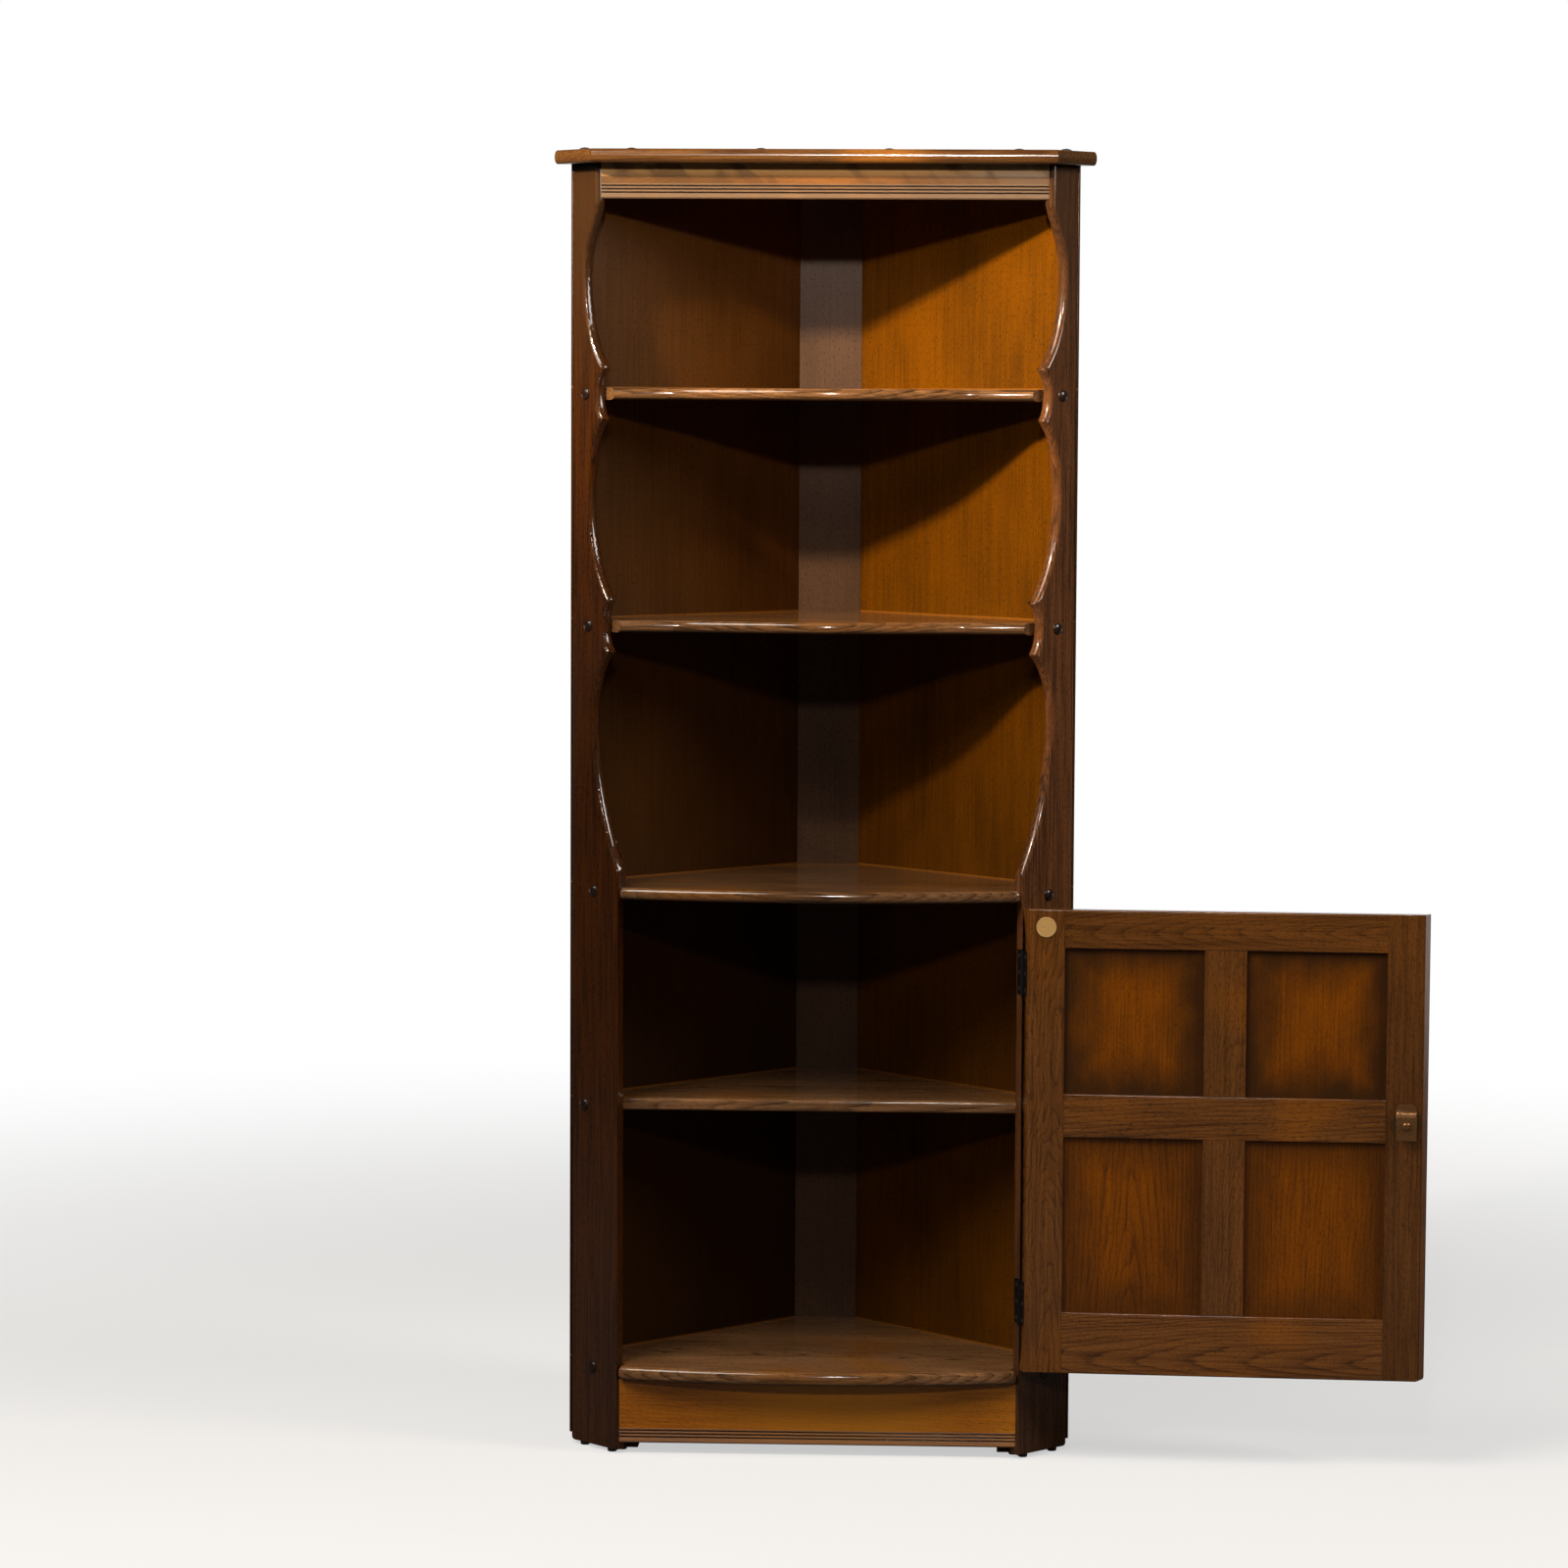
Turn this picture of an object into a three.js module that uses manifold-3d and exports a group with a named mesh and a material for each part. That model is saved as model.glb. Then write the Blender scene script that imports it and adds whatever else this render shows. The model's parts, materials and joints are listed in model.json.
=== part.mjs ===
// Corner cupboard: open shelves between scalloped side boards over a cupboard with one panelled door.
// Millimetres, +X to the right, +Y to the back, +Z up. Inside the cupboard group Y = 0 is the front
// outer arris of the side boards; the whole group is then moved so that the origin lies on the floor
// under the foot of the back post.

import * as THREE from 'three';
import { mergeVertices } from 'three/addons/utils/BufferGeometryUtils.js';
import Module from 'manifold-3d';

const wasm = await Module();
wasm.setup();

// Turns and fineness.
const HALF_TURN = Math.PI;
const QUARTER_TURN = HALF_TURN / 2;
const EIGHTH_TURN = HALF_TURN / 4;
const DEGREE = HALF_TURN / 180;
const ROUND_SEGMENTS = 24;
const SMALL_ROUND_SEGMENTS = 16;
const CURVE_SEGMENTS = 12;
const CORNER_SEGMENTS = 4;
const NOSE_SEGMENTS = 4;
const DIAGONAL = Math.SQRT2;

// Clearances and cuts.
const JOINT_GAP = 0.3;
const OVERRUN = 5;

// Carcase: the driving sizes.
const CASE_HEIGHT = 1890;
const FRONT_HALF_WIDTH = 292.4;
const BOARD_THICKNESS = 18;
const SIDE_WIDTH = 101.5;
const GLIDE_HEIGHT = 5.2;
const GLIDE_RADIUS = 6.8;
const GLIDE_NECK = 1.2;

// Side boards: width from the wall edge to the front edge, down the scalloped front.
const STRIP_WIDTH = 54;
const STRIP_REACH = 58;
const HEEL_RADIUS = 6;
const HOLLOW_REACH = 36.5;
const HOLLOW_DEPTH = 12.5;
const SHOULDER_RISE = 26;
const SIDE_BEVEL = 6;
const UPPER_BAY = { top: STRIP_WIDTH, belly: 26, foot: 68.5 };
const MIDDLE_BAY = { top: 66, belly: 35, foot: 81 };
const LOWER_BAY = { top: 80.5, belly: 44, foot: SIDE_WIDTH };
// Where each bay is narrowest, and how its two curves pull, as shares of the run they cross.
const upperBayShares = { belly: 0.426, lip: [0.29, 0.27], over: 0.53, under: 0.385, cusp: [0.28, 0.23] };
const middleBayShares = { belly: 0.418, lip: [0.52, 0.13], over: 0.64, under: 0.395, cusp: [0.28, 0.28] };
const lowerBayShares = { belly: 0.289, lip: [0.56, 0.18], over: 0.5, under: 0.31, cusp: [0.31, 0.31] };
const hollowLipShares = [0.86, 0.32];
const hollowMidShares = [0.04, 0.33];

// Back post and back panels.
const POST_HALF_WIDTH = 47.2;
const PANEL_THICKNESS = 4;
const PANEL_FOOT = 16;

// Top board.
const TOP_THICKNESS = 20;
const TOP_FRONT_OVERHANG = 4;
const TOP_SIDE_OVERHANG = 31.5;
const TOP_NOSE = 9;

// Rails under the top board and under the bottom shelf.
const FRIEZE_HEIGHT = 49.5;
const FRIEZE_SETBACK = 4.4;
const PLINTH_FOOT = 16;
const PLINTH_SETBACK = 3.5;
const GROOVE_FIRST = 9;
const GROOVE_PITCH = 4.8;
const GROOVE_WIDTH = 2.4;
const GROOVE_DEPTH = 1.8;
const GROOVE_COUNT = 3;
const BEAD_DEPTH = 2;

// Shelves, from the floor up. Their tops but the lowest stand at a share of the whole height.
// The cusps in the open shelves' fronts stand at a share of the half width.
const topShares = { cupboard: 0.27249, waist: 0.43915, lower: 0.64286, upper: 0.82011 };
const cuspShares = { lower: 0.73187, upper: 0.76607 };
const BOTTOM_SHELF = { top: 130, thickness: 20, frontAtEnds: -10, frontAtCentre: -38 };
const CUPBOARD_SHELF = { top: CASE_HEIGHT * topShares.cupboard, thickness: 18, front: 58 };
const WAIST_SHELF = {
  top: CASE_HEIGHT * topShares.waist, thickness: 17.5, frontAtEnds: -6, frontAtCentre: -38,
};
const LOWER_SHELF = {
  top: CASE_HEIGHT * topShares.lower,
  thickness: 17.5,
  front: 24,
  cusp: FRONT_HALF_WIDTH * cuspShares.lower,
  frontAtCentre: 4,
};
const UPPER_SHELF = {
  top: CASE_HEIGHT * topShares.upper,
  thickness: 17.5,
  front: 34,
  cusp: FRONT_HALF_WIDTH * cuspShares.upper,
  frontAtCentre: 14,
};
const NOSE_INSET = 3.4;
const NOSE_FACET = 6;
const NOSE_DEPTH = 6;
const NOSE_ROUND = 8;
const PLAIN_ROUND = 4;
const CUSP_STEP = 3.5;
const CUSP_HOLLOW = 3;
// The shelf front between its cusps: where the hollow ends and the swell starts, as shares.
const swellShares = { hollow: 0.88, shoulder: 0.66, crown: 0.3 };

// Wooden pegs on the outside of the side boards and on the top board.
const PEG_RADIUS = 8.75;
const PEG_HEIGHT = 4;
const PEG_ARC_STEPS = 4;
const SIDE_PEGS = [
  { name: 'upper_shelf', inset: 28.6, shelf: UPPER_SHELF },
  { name: 'lower_shelf', inset: 35, shelf: LOWER_SHELF },
  { name: 'waist', inset: 48, shelf: WAIST_SHELF },
  { name: 'cupboard_shelf', inset: 28.2, shelf: CUPBOARD_SHELF },
  { name: 'bottom_shelf', inset: 47.8, shelf: BOTTOM_SHELF },
];
const TOP_PEG_SETBACK = 45;
const topPegShares = [0.31464, 0.95075, 1.17989];

// Blocks in the front corners behind the plinth.
const BLOCK_INSET = 30.4;
const BLOCK_DEPTH = 28;
const BLOCK_HEIGHT = 55;
const BLOCK_GLIDE_INSET = 24;
const GLIDE_FRONT_INSET = 19.5;
const GLIDE_INSETS = { rear: 21, front: SIDE_WIDTH - GLIDE_FRONT_INSET };

// Door, in its closed place: the outer face lies at Y = 0.
const DOOR_THICKNESS = 18;
const DOOR_SIDE_GAP = 1.2;
const DOOR_FOOT_GAP = 3.5;
const DOOR_HEAD_GAP = 5.5;
const DOOR_STILE_REACH = 62.4;
const DOOR_TOP_RAIL = 55.5;
const DOOR_MIDDLE_RAIL = 62;
const middleRailShare = 0.5115;
const DOOR_BOTTOM_RAIL = 88.5;
const MUNTIN_HALF_WIDTH = 30;
const DOOR_PANEL = { thickness: 6, recess: 6, tongue: 6, clearance: 0.3 };
const DOOR_OPEN_ANGLE = 176.7 * DEGREE;

// Butt hinges.
const PIN_FORWARD = 3.9;
const PIN_INWARD = 0.1;
const PIN_RADIUS = 1.3;
const PIN_CLEARANCE = 0.12;
const PIN_CAP = { radius: 2.5, height: 1.2 };
const BARREL_RADIUS = 3;
const KNUCKLES = 5;
const KNUCKLE_GAP = 0.3;
const LEAF = { height: 64.6, width: 15, thickness: 1.5, setback: 0.2 };
const HINGE_INSETS = { foot: 66.3, head: 62.4 };

// Turn latch with a drop ring outside and a cranked tongue inside.
const LATCH_PLACE = { inset: 33.4, aboveRailFoot: 27.3 };
const SPINDLE = { radius: 5, collar: 8, tip: 3, clearance: 0.3 };
const ROSE = { radius: 21, thickness: 4, rim: 1.5 };
const WASHER = { radius: 21, thickness: 1.6 };
const RING_BOSS = { radius: 8, length: 13.5, eye: 4.8 };
const DROP_RING = { radius: 16, wire: 2.2, sides: 8 };
const TONGUE = { width: 28.7, thickness: 1.8, tail: 21.3, fold: 11.7, heel: 17.7, tip: 30.5 };
const TONGUE_STANDOFF = 11.5;
const TONGUE_CRANK = 4.9;
const TONGUE_CORNER = 9;
const NUT = { radius: 7, height: 4.2 };

// Plain round badge on the inner face.
const BADGE = { radius: 14.5, thickness: 1.2, inset: 35.4, drop: 25.5 };

// Worked-out planes. A side plane is where |X| - Y is constant, a back plane where |X| + Y is.
const sideRun = SIDE_WIDTH / DIAGONAL;
const sideOuter = FRONT_HALF_WIDTH;
const sideInner = FRONT_HALF_WIDTH - BOARD_THICKNESS * DIAGONAL;
const backPlane = FRONT_HALF_WIDTH + sideRun + sideRun;
const stripFrontPlane = backPlane - STRIP_WIDTH * DIAGONAL;
const postFront = backPlane - POST_HALF_WIDTH;
const postBack = postFront + BOARD_THICKNESS;
const panelInner = backPlane + JOINT_GAP;
const panelOuter = panelInner + PANEL_THICKNESS * DIAGONAL;
const caseTop = CASE_HEIGHT - TOP_THICKNESS;
const footY = (postFront + postBack) / 2;
const doorFoot = BOTTOM_SHELF.top + DOOR_FOOT_GAP;
const doorHead = WAIST_SHELF.top - WAIST_SHELF.thickness - DOOR_HEAD_GAP;
const middleRailFoot = doorFoot + (doorHead - doorFoot) * middleRailShare;
const middleRailHead = middleRailFoot + DOOR_MIDDLE_RAIL;
const latchHeight = middleRailFoot + LATCH_PLACE.aboveRailFoot;
const hingePlaces = [
  { name: 'lower_hinge', foot: doorFoot + HINGE_INSETS.foot },
  { name: 'upper_hinge', foot: doorHead - HINGE_INSETS.head - LEAF.height },
];
const bevelAngle = Math.atan2(SIDE_BEVEL, BOARD_THICKNESS);
const edgeAngle = EIGHTH_TURN - bevelAngle;
const doorHalfWidth = FRONT_HALF_WIDTH - DOOR_SIDE_GAP / Math.cos(edgeAngle);
const doorInnerHalfWidth = doorHalfWidth - DOOR_THICKNESS * Math.tan(edgeAngle);
const pinX = FRONT_HALF_WIDTH - PIN_INWARD;
const noseHalfWidth = FRONT_HALF_WIDTH - NOSE_INSET;
const blockInner = FRONT_HALF_WIDTH - BLOCK_INSET;
const stileInner = FRONT_HALF_WIDTH - DOOR_STILE_REACH;
const latchX = FRONT_HALF_WIDTH - LATCH_PLACE.inset;

// Finishes.
const finishes = {
  sideWood: { color: 0x2f1a0b, roughness: 0.4, metalness: 0 },
  railWood: { color: 0x5c3618, roughness: 0.38, metalness: 0 },
  shelfWood: { color: 0x4a2a16, roughness: 0.36, metalness: 0 },
  panelWood: { color: 0x6b3c10, roughness: 0.42, metalness: 0 },
  doorWood: { color: 0x4e2f18, roughness: 0.4, metalness: 0 },
  postWood: { color: 0x4d382c, roughness: 0.6, metalness: 0 },
  pegWood: { color: 0x2a170c, roughness: 0.35, metalness: 0 },
  steel: { color: 0x2e2b28, roughness: 0.45, metalness: 0.9 },
  brass: { color: 0xa8823f, roughness: 0.35, metalness: 0.95 },
  glide: { color: 0x17130f, roughness: 0.7, metalness: 0 },
};

function finish(name) {
  return new THREE.MeshStandardMaterial(finishes[name]);
}

// Solids.

// Shared vertices merged, and the slivers that a turned shape has on its axis left out.
function merged(geometry) {
  const bare = geometry.clone();
  bare.deleteAttribute('normal');
  bare.deleteAttribute('uv');
  const closed = mergeVertices(bare);
  const kept = [];
  const { array } = closed.index;
  for (let corner = 0; corner < array.length; corner += 3) {
    const [a, b, c] = array.slice(corner, corner + 3);
    if (a !== b && b !== c && c !== a) {
      kept.push(a, b, c);
    }
  }
  closed.setIndex(kept);
  return closed;
}

function solid(geometry) {
  const closed = merged(geometry);
  return new wasm.Manifold(new wasm.Mesh({
    numProp: 3,
    vertProperties: Float32Array.from(closed.attributes.position.array),
    triVerts: Uint32Array.from(closed.index.array),
  }));
}

function geometryOf(body) {
  const mesh = body.getMesh();
  const geometry = new THREE.BufferGeometry();
  geometry.setAttribute('position', new THREE.BufferAttribute(mesh.vertProperties, mesh.numProp));
  geometry.setIndex(new THREE.BufferAttribute(mesh.triVerts, 1));
  geometry.computeVertexNormals();
  return geometry;
}

function outline(points) {
  return new THREE.Shape(points.map(([x, y]) => new THREE.Vector2(x, y)));
}

// A prism that stands on its plan outline.
function prism(points, foot, height) {
  const geometry = new THREE.ExtrudeGeometry(outline(points), { depth: height, bevelEnabled: false });
  return geometry.translate(0, 0, foot);
}

function box(low, high) {
  const size = high.map((value, axis) => value - low[axis]);
  const centre = high.map((value, axis) => (value + low[axis]) / 2);
  return new THREE.BoxGeometry(...size).translate(...centre);
}

// A turned solid on the Y axis, from [radius, y] pairs.
function turned(profile, segments) {
  return new THREE.LatheGeometry(profile.map(([r, y]) => new THREE.Vector2(r, y)), segments);
}

function node(name, geometry, material) {
  const mesh = new THREE.Mesh(geometry, finish(material));
  mesh.name = name;
  return mesh;
}

// The right half of a plan outline, from its back to its front, closed with its mirror image.
function closeHalf(points) {
  const half = points.filter(([x]) => x > 0);
  const onAxis = points.filter(([x]) => x === 0);
  const left = half.map(([x, y]) => [-x, y]).reverse();
  return [...half, ...onAxis, ...left];
}

// The same geometry with its depth turned the other way.
function flipped(geometry) {
  const turnedOver = geometry.clone().scale(1, 1, -1);
  const index = turnedOver.index.array;
  for (let corner = 0; corner < index.length; corner += 3) {
    const held = index[corner];
    index[corner] = index[corner + 1];
    index[corner + 1] = held;
  }
  turnedOver.computeVertexNormals();
  return turnedOver;
}

// Side boards.

// One scalloped bay from its top down to its cusp, as two curves that meet where it is narrowest.
function addBay(shape, bay, shares, head, foot) {
  const drop = head - foot;
  const bellyZ = head - drop * shares.belly;
  const above = head - bellyZ;
  const below = bellyZ - foot;
  const fallIn = bay.top - bay.belly;
  const comeOut = bay.foot - bay.belly;
  shape.bezierCurveTo(
    bay.top - fallIn * shares.lip[0], head - above * shares.lip[1],
    bay.belly, bellyZ + above * shares.over,
    bay.belly, bellyZ,
  );
  shape.bezierCurveTo(
    bay.belly, bellyZ - below * shares.under,
    bay.belly + comeOut * shares.cusp[0], foot + below * shares.cusp[1],
    bay.foot, foot,
  );
}

// The short hollow opposite a shelf, between the cusps above and below it.
function addHollow(shape, upperCusp, lowerCusp, shelf) {
  const middle = shelf.top - shelf.thickness / 2;
  const mean = (upperCusp + lowerCusp) / 2;
  const floor = mean - HOLLOW_DEPTH;
  const [lipOut, lipDown] = hollowLipShares;
  const [midOut, midUp] = hollowMidShares;
  shape.bezierCurveTo(
    floor + HOLLOW_DEPTH * (1 - lipOut), middle + HOLLOW_REACH * (1 - lipDown),
    floor - HOLLOW_DEPTH * midOut, middle + HOLLOW_REACH * midUp,
    floor, middle,
  );
  shape.bezierCurveTo(
    floor + HOLLOW_DEPTH * midOut, middle - HOLLOW_REACH * midUp,
    floor + HOLLOW_DEPTH * (1 - lipOut), middle - HOLLOW_REACH * (1 - lipDown),
    lowerCusp, middle - HOLLOW_REACH,
  );
}

// The outline stands with the wall edge at x = 0 and the floor at y = 0.
function sideOutline() {
  const middleOf = (shelf) => shelf.top - shelf.thickness / 2;
  const shape = new THREE.Shape();
  shape.moveTo(0, GLIDE_HEIGHT + HEEL_RADIUS);
  shape.lineTo(0, caseTop);
  shape.lineTo(STRIP_WIDTH, caseTop);
  shape.lineTo(STRIP_WIDTH, caseTop - STRIP_REACH);
  addBay(shape, UPPER_BAY, upperBayShares, caseTop - STRIP_REACH, middleOf(UPPER_SHELF) + HOLLOW_REACH);
  addHollow(shape, UPPER_BAY.foot, MIDDLE_BAY.top, UPPER_SHELF);
  addBay(shape, MIDDLE_BAY, middleBayShares, middleOf(UPPER_SHELF) - HOLLOW_REACH,
    middleOf(LOWER_SHELF) + HOLLOW_REACH);
  addHollow(shape, MIDDLE_BAY.foot, LOWER_BAY.top, LOWER_SHELF);
  addBay(shape, LOWER_BAY, lowerBayShares, middleOf(LOWER_SHELF) - HOLLOW_REACH,
    WAIST_SHELF.top + SHOULDER_RISE);
  shape.lineTo(SIDE_WIDTH, GLIDE_HEIGHT);
  shape.lineTo(HEEL_RADIUS, GLIDE_HEIGHT);
  shape.quadraticCurveTo(0, GLIDE_HEIGHT, 0, GLIDE_HEIGHT + HEEL_RADIUS);
  return shape;
}

// A point beside the slanted door edge of a side board, as [width, depth] from its outer arris.
function atBevel(along, into) {
  return [
    SIDE_WIDTH - along * Math.sin(bevelAngle) - into * Math.cos(bevelAngle),
    along * Math.cos(bevelAngle) - into * Math.sin(bevelAngle),
  ];
}

// A cutter given in width and depth over a stretch of height, for a board whose depth runs along Z.
function edgeCutter(points, foot, head) {
  const section = outline(points.map(([width, depth]) => [width, -depth]));
  const cutter = new THREE.ExtrudeGeometry(section, { depth: head - foot, bevelEnabled: false });
  return solid(cutter.rotateX(-QUARTER_TURN).translate(0, foot, 0));
}

function sideBoard(hinged) {
  const options = { depth: BOARD_THICKNESS, bevelEnabled: false, curveSegments: CURVE_SEGMENTS };
  let board = solid(new THREE.ExtrudeGeometry(sideOutline(), options));
  const bevelLength = BOARD_THICKNESS / Math.cos(bevelAngle);
  const slant = [
    atBevel(-OVERRUN, 0),
    atBevel(-OVERRUN, -OVERRUN - SIDE_BEVEL),
    atBevel(bevelLength + OVERRUN, -OVERRUN - SIDE_BEVEL),
    atBevel(bevelLength + OVERRUN, 0),
  ];
  const slantFoot = BOTTOM_SHELF.top - BOTTOM_SHELF.thickness;
  const slantHead = WAIST_SHELF.top - WAIST_SHELF.thickness;
  board = board.subtract(edgeCutter(slant, slantFoot, slantHead));
  if (hinged) {
    const gain = [
      atBevel(-OVERRUN, -OVERRUN),
      atBevel(LEAF.width + JOINT_GAP, -OVERRUN),
      atBevel(LEAF.width + JOINT_GAP, LEAF.thickness + JOINT_GAP),
      atBevel(-OVERRUN, LEAF.thickness + JOINT_GAP),
    ];
    for (const place of hingePlaces) {
      const head = place.foot + LEAF.height;
      board = board.subtract(edgeCutter(gain, place.foot - JOINT_GAP, head + JOINT_GAP));
    }
  }
  return geometryOf(board);
}

function domeProfile(radius, height) {
  const profile = [[0, 0], [radius, 0]];
  for (let step = 1; step < PEG_ARC_STEPS; step += 1) {
    const turn = QUARTER_TURN * step / PEG_ARC_STEPS;
    profile.push([radius * Math.cos(turn), height * Math.sin(turn)]);
  }
  profile.push([0, height]);
  return profile;
}

function peg() {
  return turned(domeProfile(PEG_RADIUS, PEG_HEIGHT), SMALL_ROUND_SEGMENTS);
}

function glide() {
  const profile = [
    [0, 0],
    [GLIDE_RADIUS - GLIDE_NECK, 0],
    [GLIDE_RADIUS, GLIDE_NECK],
    [GLIDE_RADIUS, GLIDE_HEIGHT],
    [0, GLIDE_HEIGHT],
  ];
  return turned(profile, SMALL_ROUND_SEGMENTS).rotateX(QUARTER_TURN);
}

// One side of the carcase: its group's X runs from the wall edge to the front edge.
function side(name, hand) {
  const group = new THREE.Group();
  group.position.set(hand * (FRONT_HALF_WIDTH + sideRun), sideRun, 0);
  group.rotation.z = hand > 0 ? HALF_TURN + EIGHTH_TURN : -EIGHTH_TURN;

  const shape = hand > 0 ? sideBoard(true) : flipped(sideBoard(false));
  const board = node(`${name}_side_board`, shape, 'sideWood');
  board.rotation.x = QUARTER_TURN;
  group.add(board);

  for (const place of SIDE_PEGS) {
    const head = node(`${name}_peg_${place.name}`, peg(), 'pegWood');
    head.position.set(place.inset, 0, place.shelf.top - place.shelf.thickness / 2);
    head.rotation.x = hand > 0 ? 0 : HALF_TURN;
    group.add(head);
  }

  for (const [where, inset] of Object.entries(GLIDE_INSETS)) {
    const foot = node(`${name}_${where}_glide`, glide(), 'glide');
    foot.position.set(inset, -hand * BOARD_THICKNESS / 2, 0);
    group.add(foot);
  }

  const reach = (sideOuter + postBack + postBack - panelOuter) / DIAGONAL;
  const panel = box([-PANEL_THICKNESS, 0, PANEL_FOOT], [0, reach, caseTop]);
  const back = node(`${name}_back_panel`, panel, 'panelWood');
  back.position.set((backPlane - panelInner) / DIAGONAL, hand > 0 ? -reach : 0, 0);
  group.add(back);
  return group;
}

// Boards with a rounded front edge.

// The blank runs past the outline at the back and ends, so that only its front edge is rounded.
function nosedBoard(plan, blank, foot, thickness, depth, round) {
  const geometry = new THREE.ExtrudeGeometry(outline(blank), {
    depth: thickness - round - round,
    bevelThickness: round,
    bevelSize: depth,
    bevelOffset: -depth,
    bevelSegments: NOSE_SEGMENTS,
  });
  geometry.translate(0, 0, foot + round);
  const board = solid(geometry);
  return geometryOf(board.intersect(solid(prism(plan, foot - OVERRUN, thickness + OVERRUN + OVERRUN))));
}

// Back corners of a shelf that fits round the post and between the sides, right half, from the
// middle of the back round to the front end at the side board.
function shelfBack(gap) {
  const back = postFront - gap;
  const corner = (backPlane + sideInner) / 2;
  return [
    [POST_HALF_WIDTH - gap, back],
    [corner - gap, corner - sideInner],
  ];
}

function frontSamples(halfWidth, height, count) {
  const points = [];
  for (let step = 0; step <= count; step += 1) {
    const x = halfWidth * (1 - step / count);
    points.push([x, height(x)]);
  }
  return points;
}

// A front that bows out evenly between two ends.
function bow(halfWidth, atEnds, atCentre) {
  return (x) => atCentre + (atEnds - atCentre) * (x / halfWidth) ** 2;
}

// The serpentine front of an open shelf: straight at the ends, a cusp, a hollow, then a swell.
function serpentine(shelf) {
  const hollowEnd = shelf.cusp * swellShares.hollow;
  const curve = new THREE.CubicBezierCurve(
    new THREE.Vector2(hollowEnd, shelf.front + CUSP_STEP - CUSP_HOLLOW / 2),
    new THREE.Vector2(shelf.cusp * swellShares.shoulder, shelf.front - CUSP_HOLLOW),
    new THREE.Vector2(shelf.cusp * swellShares.crown, shelf.frontAtCentre),
    new THREE.Vector2(0, shelf.frontAtCentre),
  );
  const points = [
    [sideInner + shelf.front - JOINT_GAP, shelf.front],
    [shelf.cusp, shelf.front],
    [shelf.cusp - CUSP_HOLLOW / 2, shelf.front + CUSP_STEP],
  ];
  for (const point of curve.getPoints(CURVE_SEGMENTS + CURVE_SEGMENTS)) {
    points.push([point.x, point.y]);
  }
  return points;
}

// A blank with the same front, carried on past the ends and the back.
function blankFor(front) {
  const far = sideOuter + sideRun + OVERRUN;
  return closeHalf([[far, postBack + far], [far, front[0][1]], ...front]);
}

function openShelf(shelf) {
  const front = serpentine(shelf);
  const plan = closeHalf([...shelfBack(JOINT_GAP), ...front]);
  return nosedBoard(plan, blankFor(front), shelf.top - shelf.thickness, shelf.thickness, NOSE_DEPTH,
    NOSE_ROUND);
}

function straightShelf(shelf) {
  const front = [[sideInner + shelf.front - JOINT_GAP, shelf.front], [0, shelf.front]];
  const plan = closeHalf([...shelfBack(JOINT_GAP), ...front]);
  return nosedBoard(plan, blankFor(front), shelf.top - shelf.thickness, shelf.thickness, PLAIN_ROUND,
    PLAIN_ROUND);
}

// A shelf whose nose runs out in front of the side boards' edges.
function nosedShelf(shelf) {
  const facetX = noseHalfWidth - NOSE_FACET;
  const front = frontSamples(facetX, bow(facetX, shelf.frontAtEnds, shelf.frontAtCentre), CURVE_SEGMENTS);
  const edgePlane = sideOuter - JOINT_GAP;
  const innerX = (edgePlane + sideInner) / 2 - JOINT_GAP;
  const ends = [
    [innerX, edgePlane - innerX],
    [noseHalfWidth, edgePlane - noseHalfWidth],
    [noseHalfWidth, shelf.frontAtEnds + NOSE_FACET],
  ];
  const plan = closeHalf([...shelfBack(JOINT_GAP), ...ends, ...front]);
  const cheekY = edgePlane - noseHalfWidth + NOSE_DEPTH;
  const cheek = [[noseHalfWidth, cheekY], [noseHalfWidth, shelf.frontAtEnds + NOSE_FACET]];
  const far = sideOuter + sideRun + OVERRUN;
  const blank = closeHalf([[far, postBack + far], [far, cheekY], ...cheek, ...front]);
  return nosedBoard(plan, blank, shelf.top - shelf.thickness, shelf.thickness, NOSE_DEPTH, NOSE_ROUND);
}

// Top board, with the six pegs that stand on it.
function topBoard() {
  const cornerPlane = sideOuter + TOP_SIDE_OVERHANG * DIAGONAL;
  const tipX = (cornerPlane + panelOuter) / 2;
  const frontX = cornerPlane - TOP_FRONT_OVERHANG;
  const plan = closeHalf([
    [panelOuter - postBack, postBack],
    [tipX, panelOuter - tipX],
    [frontX, -TOP_FRONT_OVERHANG],
  ]);
  const far = tipX + OVERRUN + OVERRUN;
  const blank = closeHalf([
    [far, postBack + far],
    [far, far - cornerPlane],
    [frontX, -TOP_FRONT_OVERHANG],
  ]);
  let board = solid(nosedBoard(plan, blank, caseTop, TOP_THICKNESS, NOSE_DEPTH, TOP_NOSE));
  for (const share of topPegShares) {
    for (const hand of [-1, 1]) {
      const head = peg().rotateX(QUARTER_TURN);
      head.translate(hand * FRONT_HALF_WIDTH * share, TOP_PEG_SETBACK, CASE_HEIGHT - JOINT_GAP);
      board = board.add(solid(head));
    }
  }
  return geometryOf(board);
}

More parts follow.
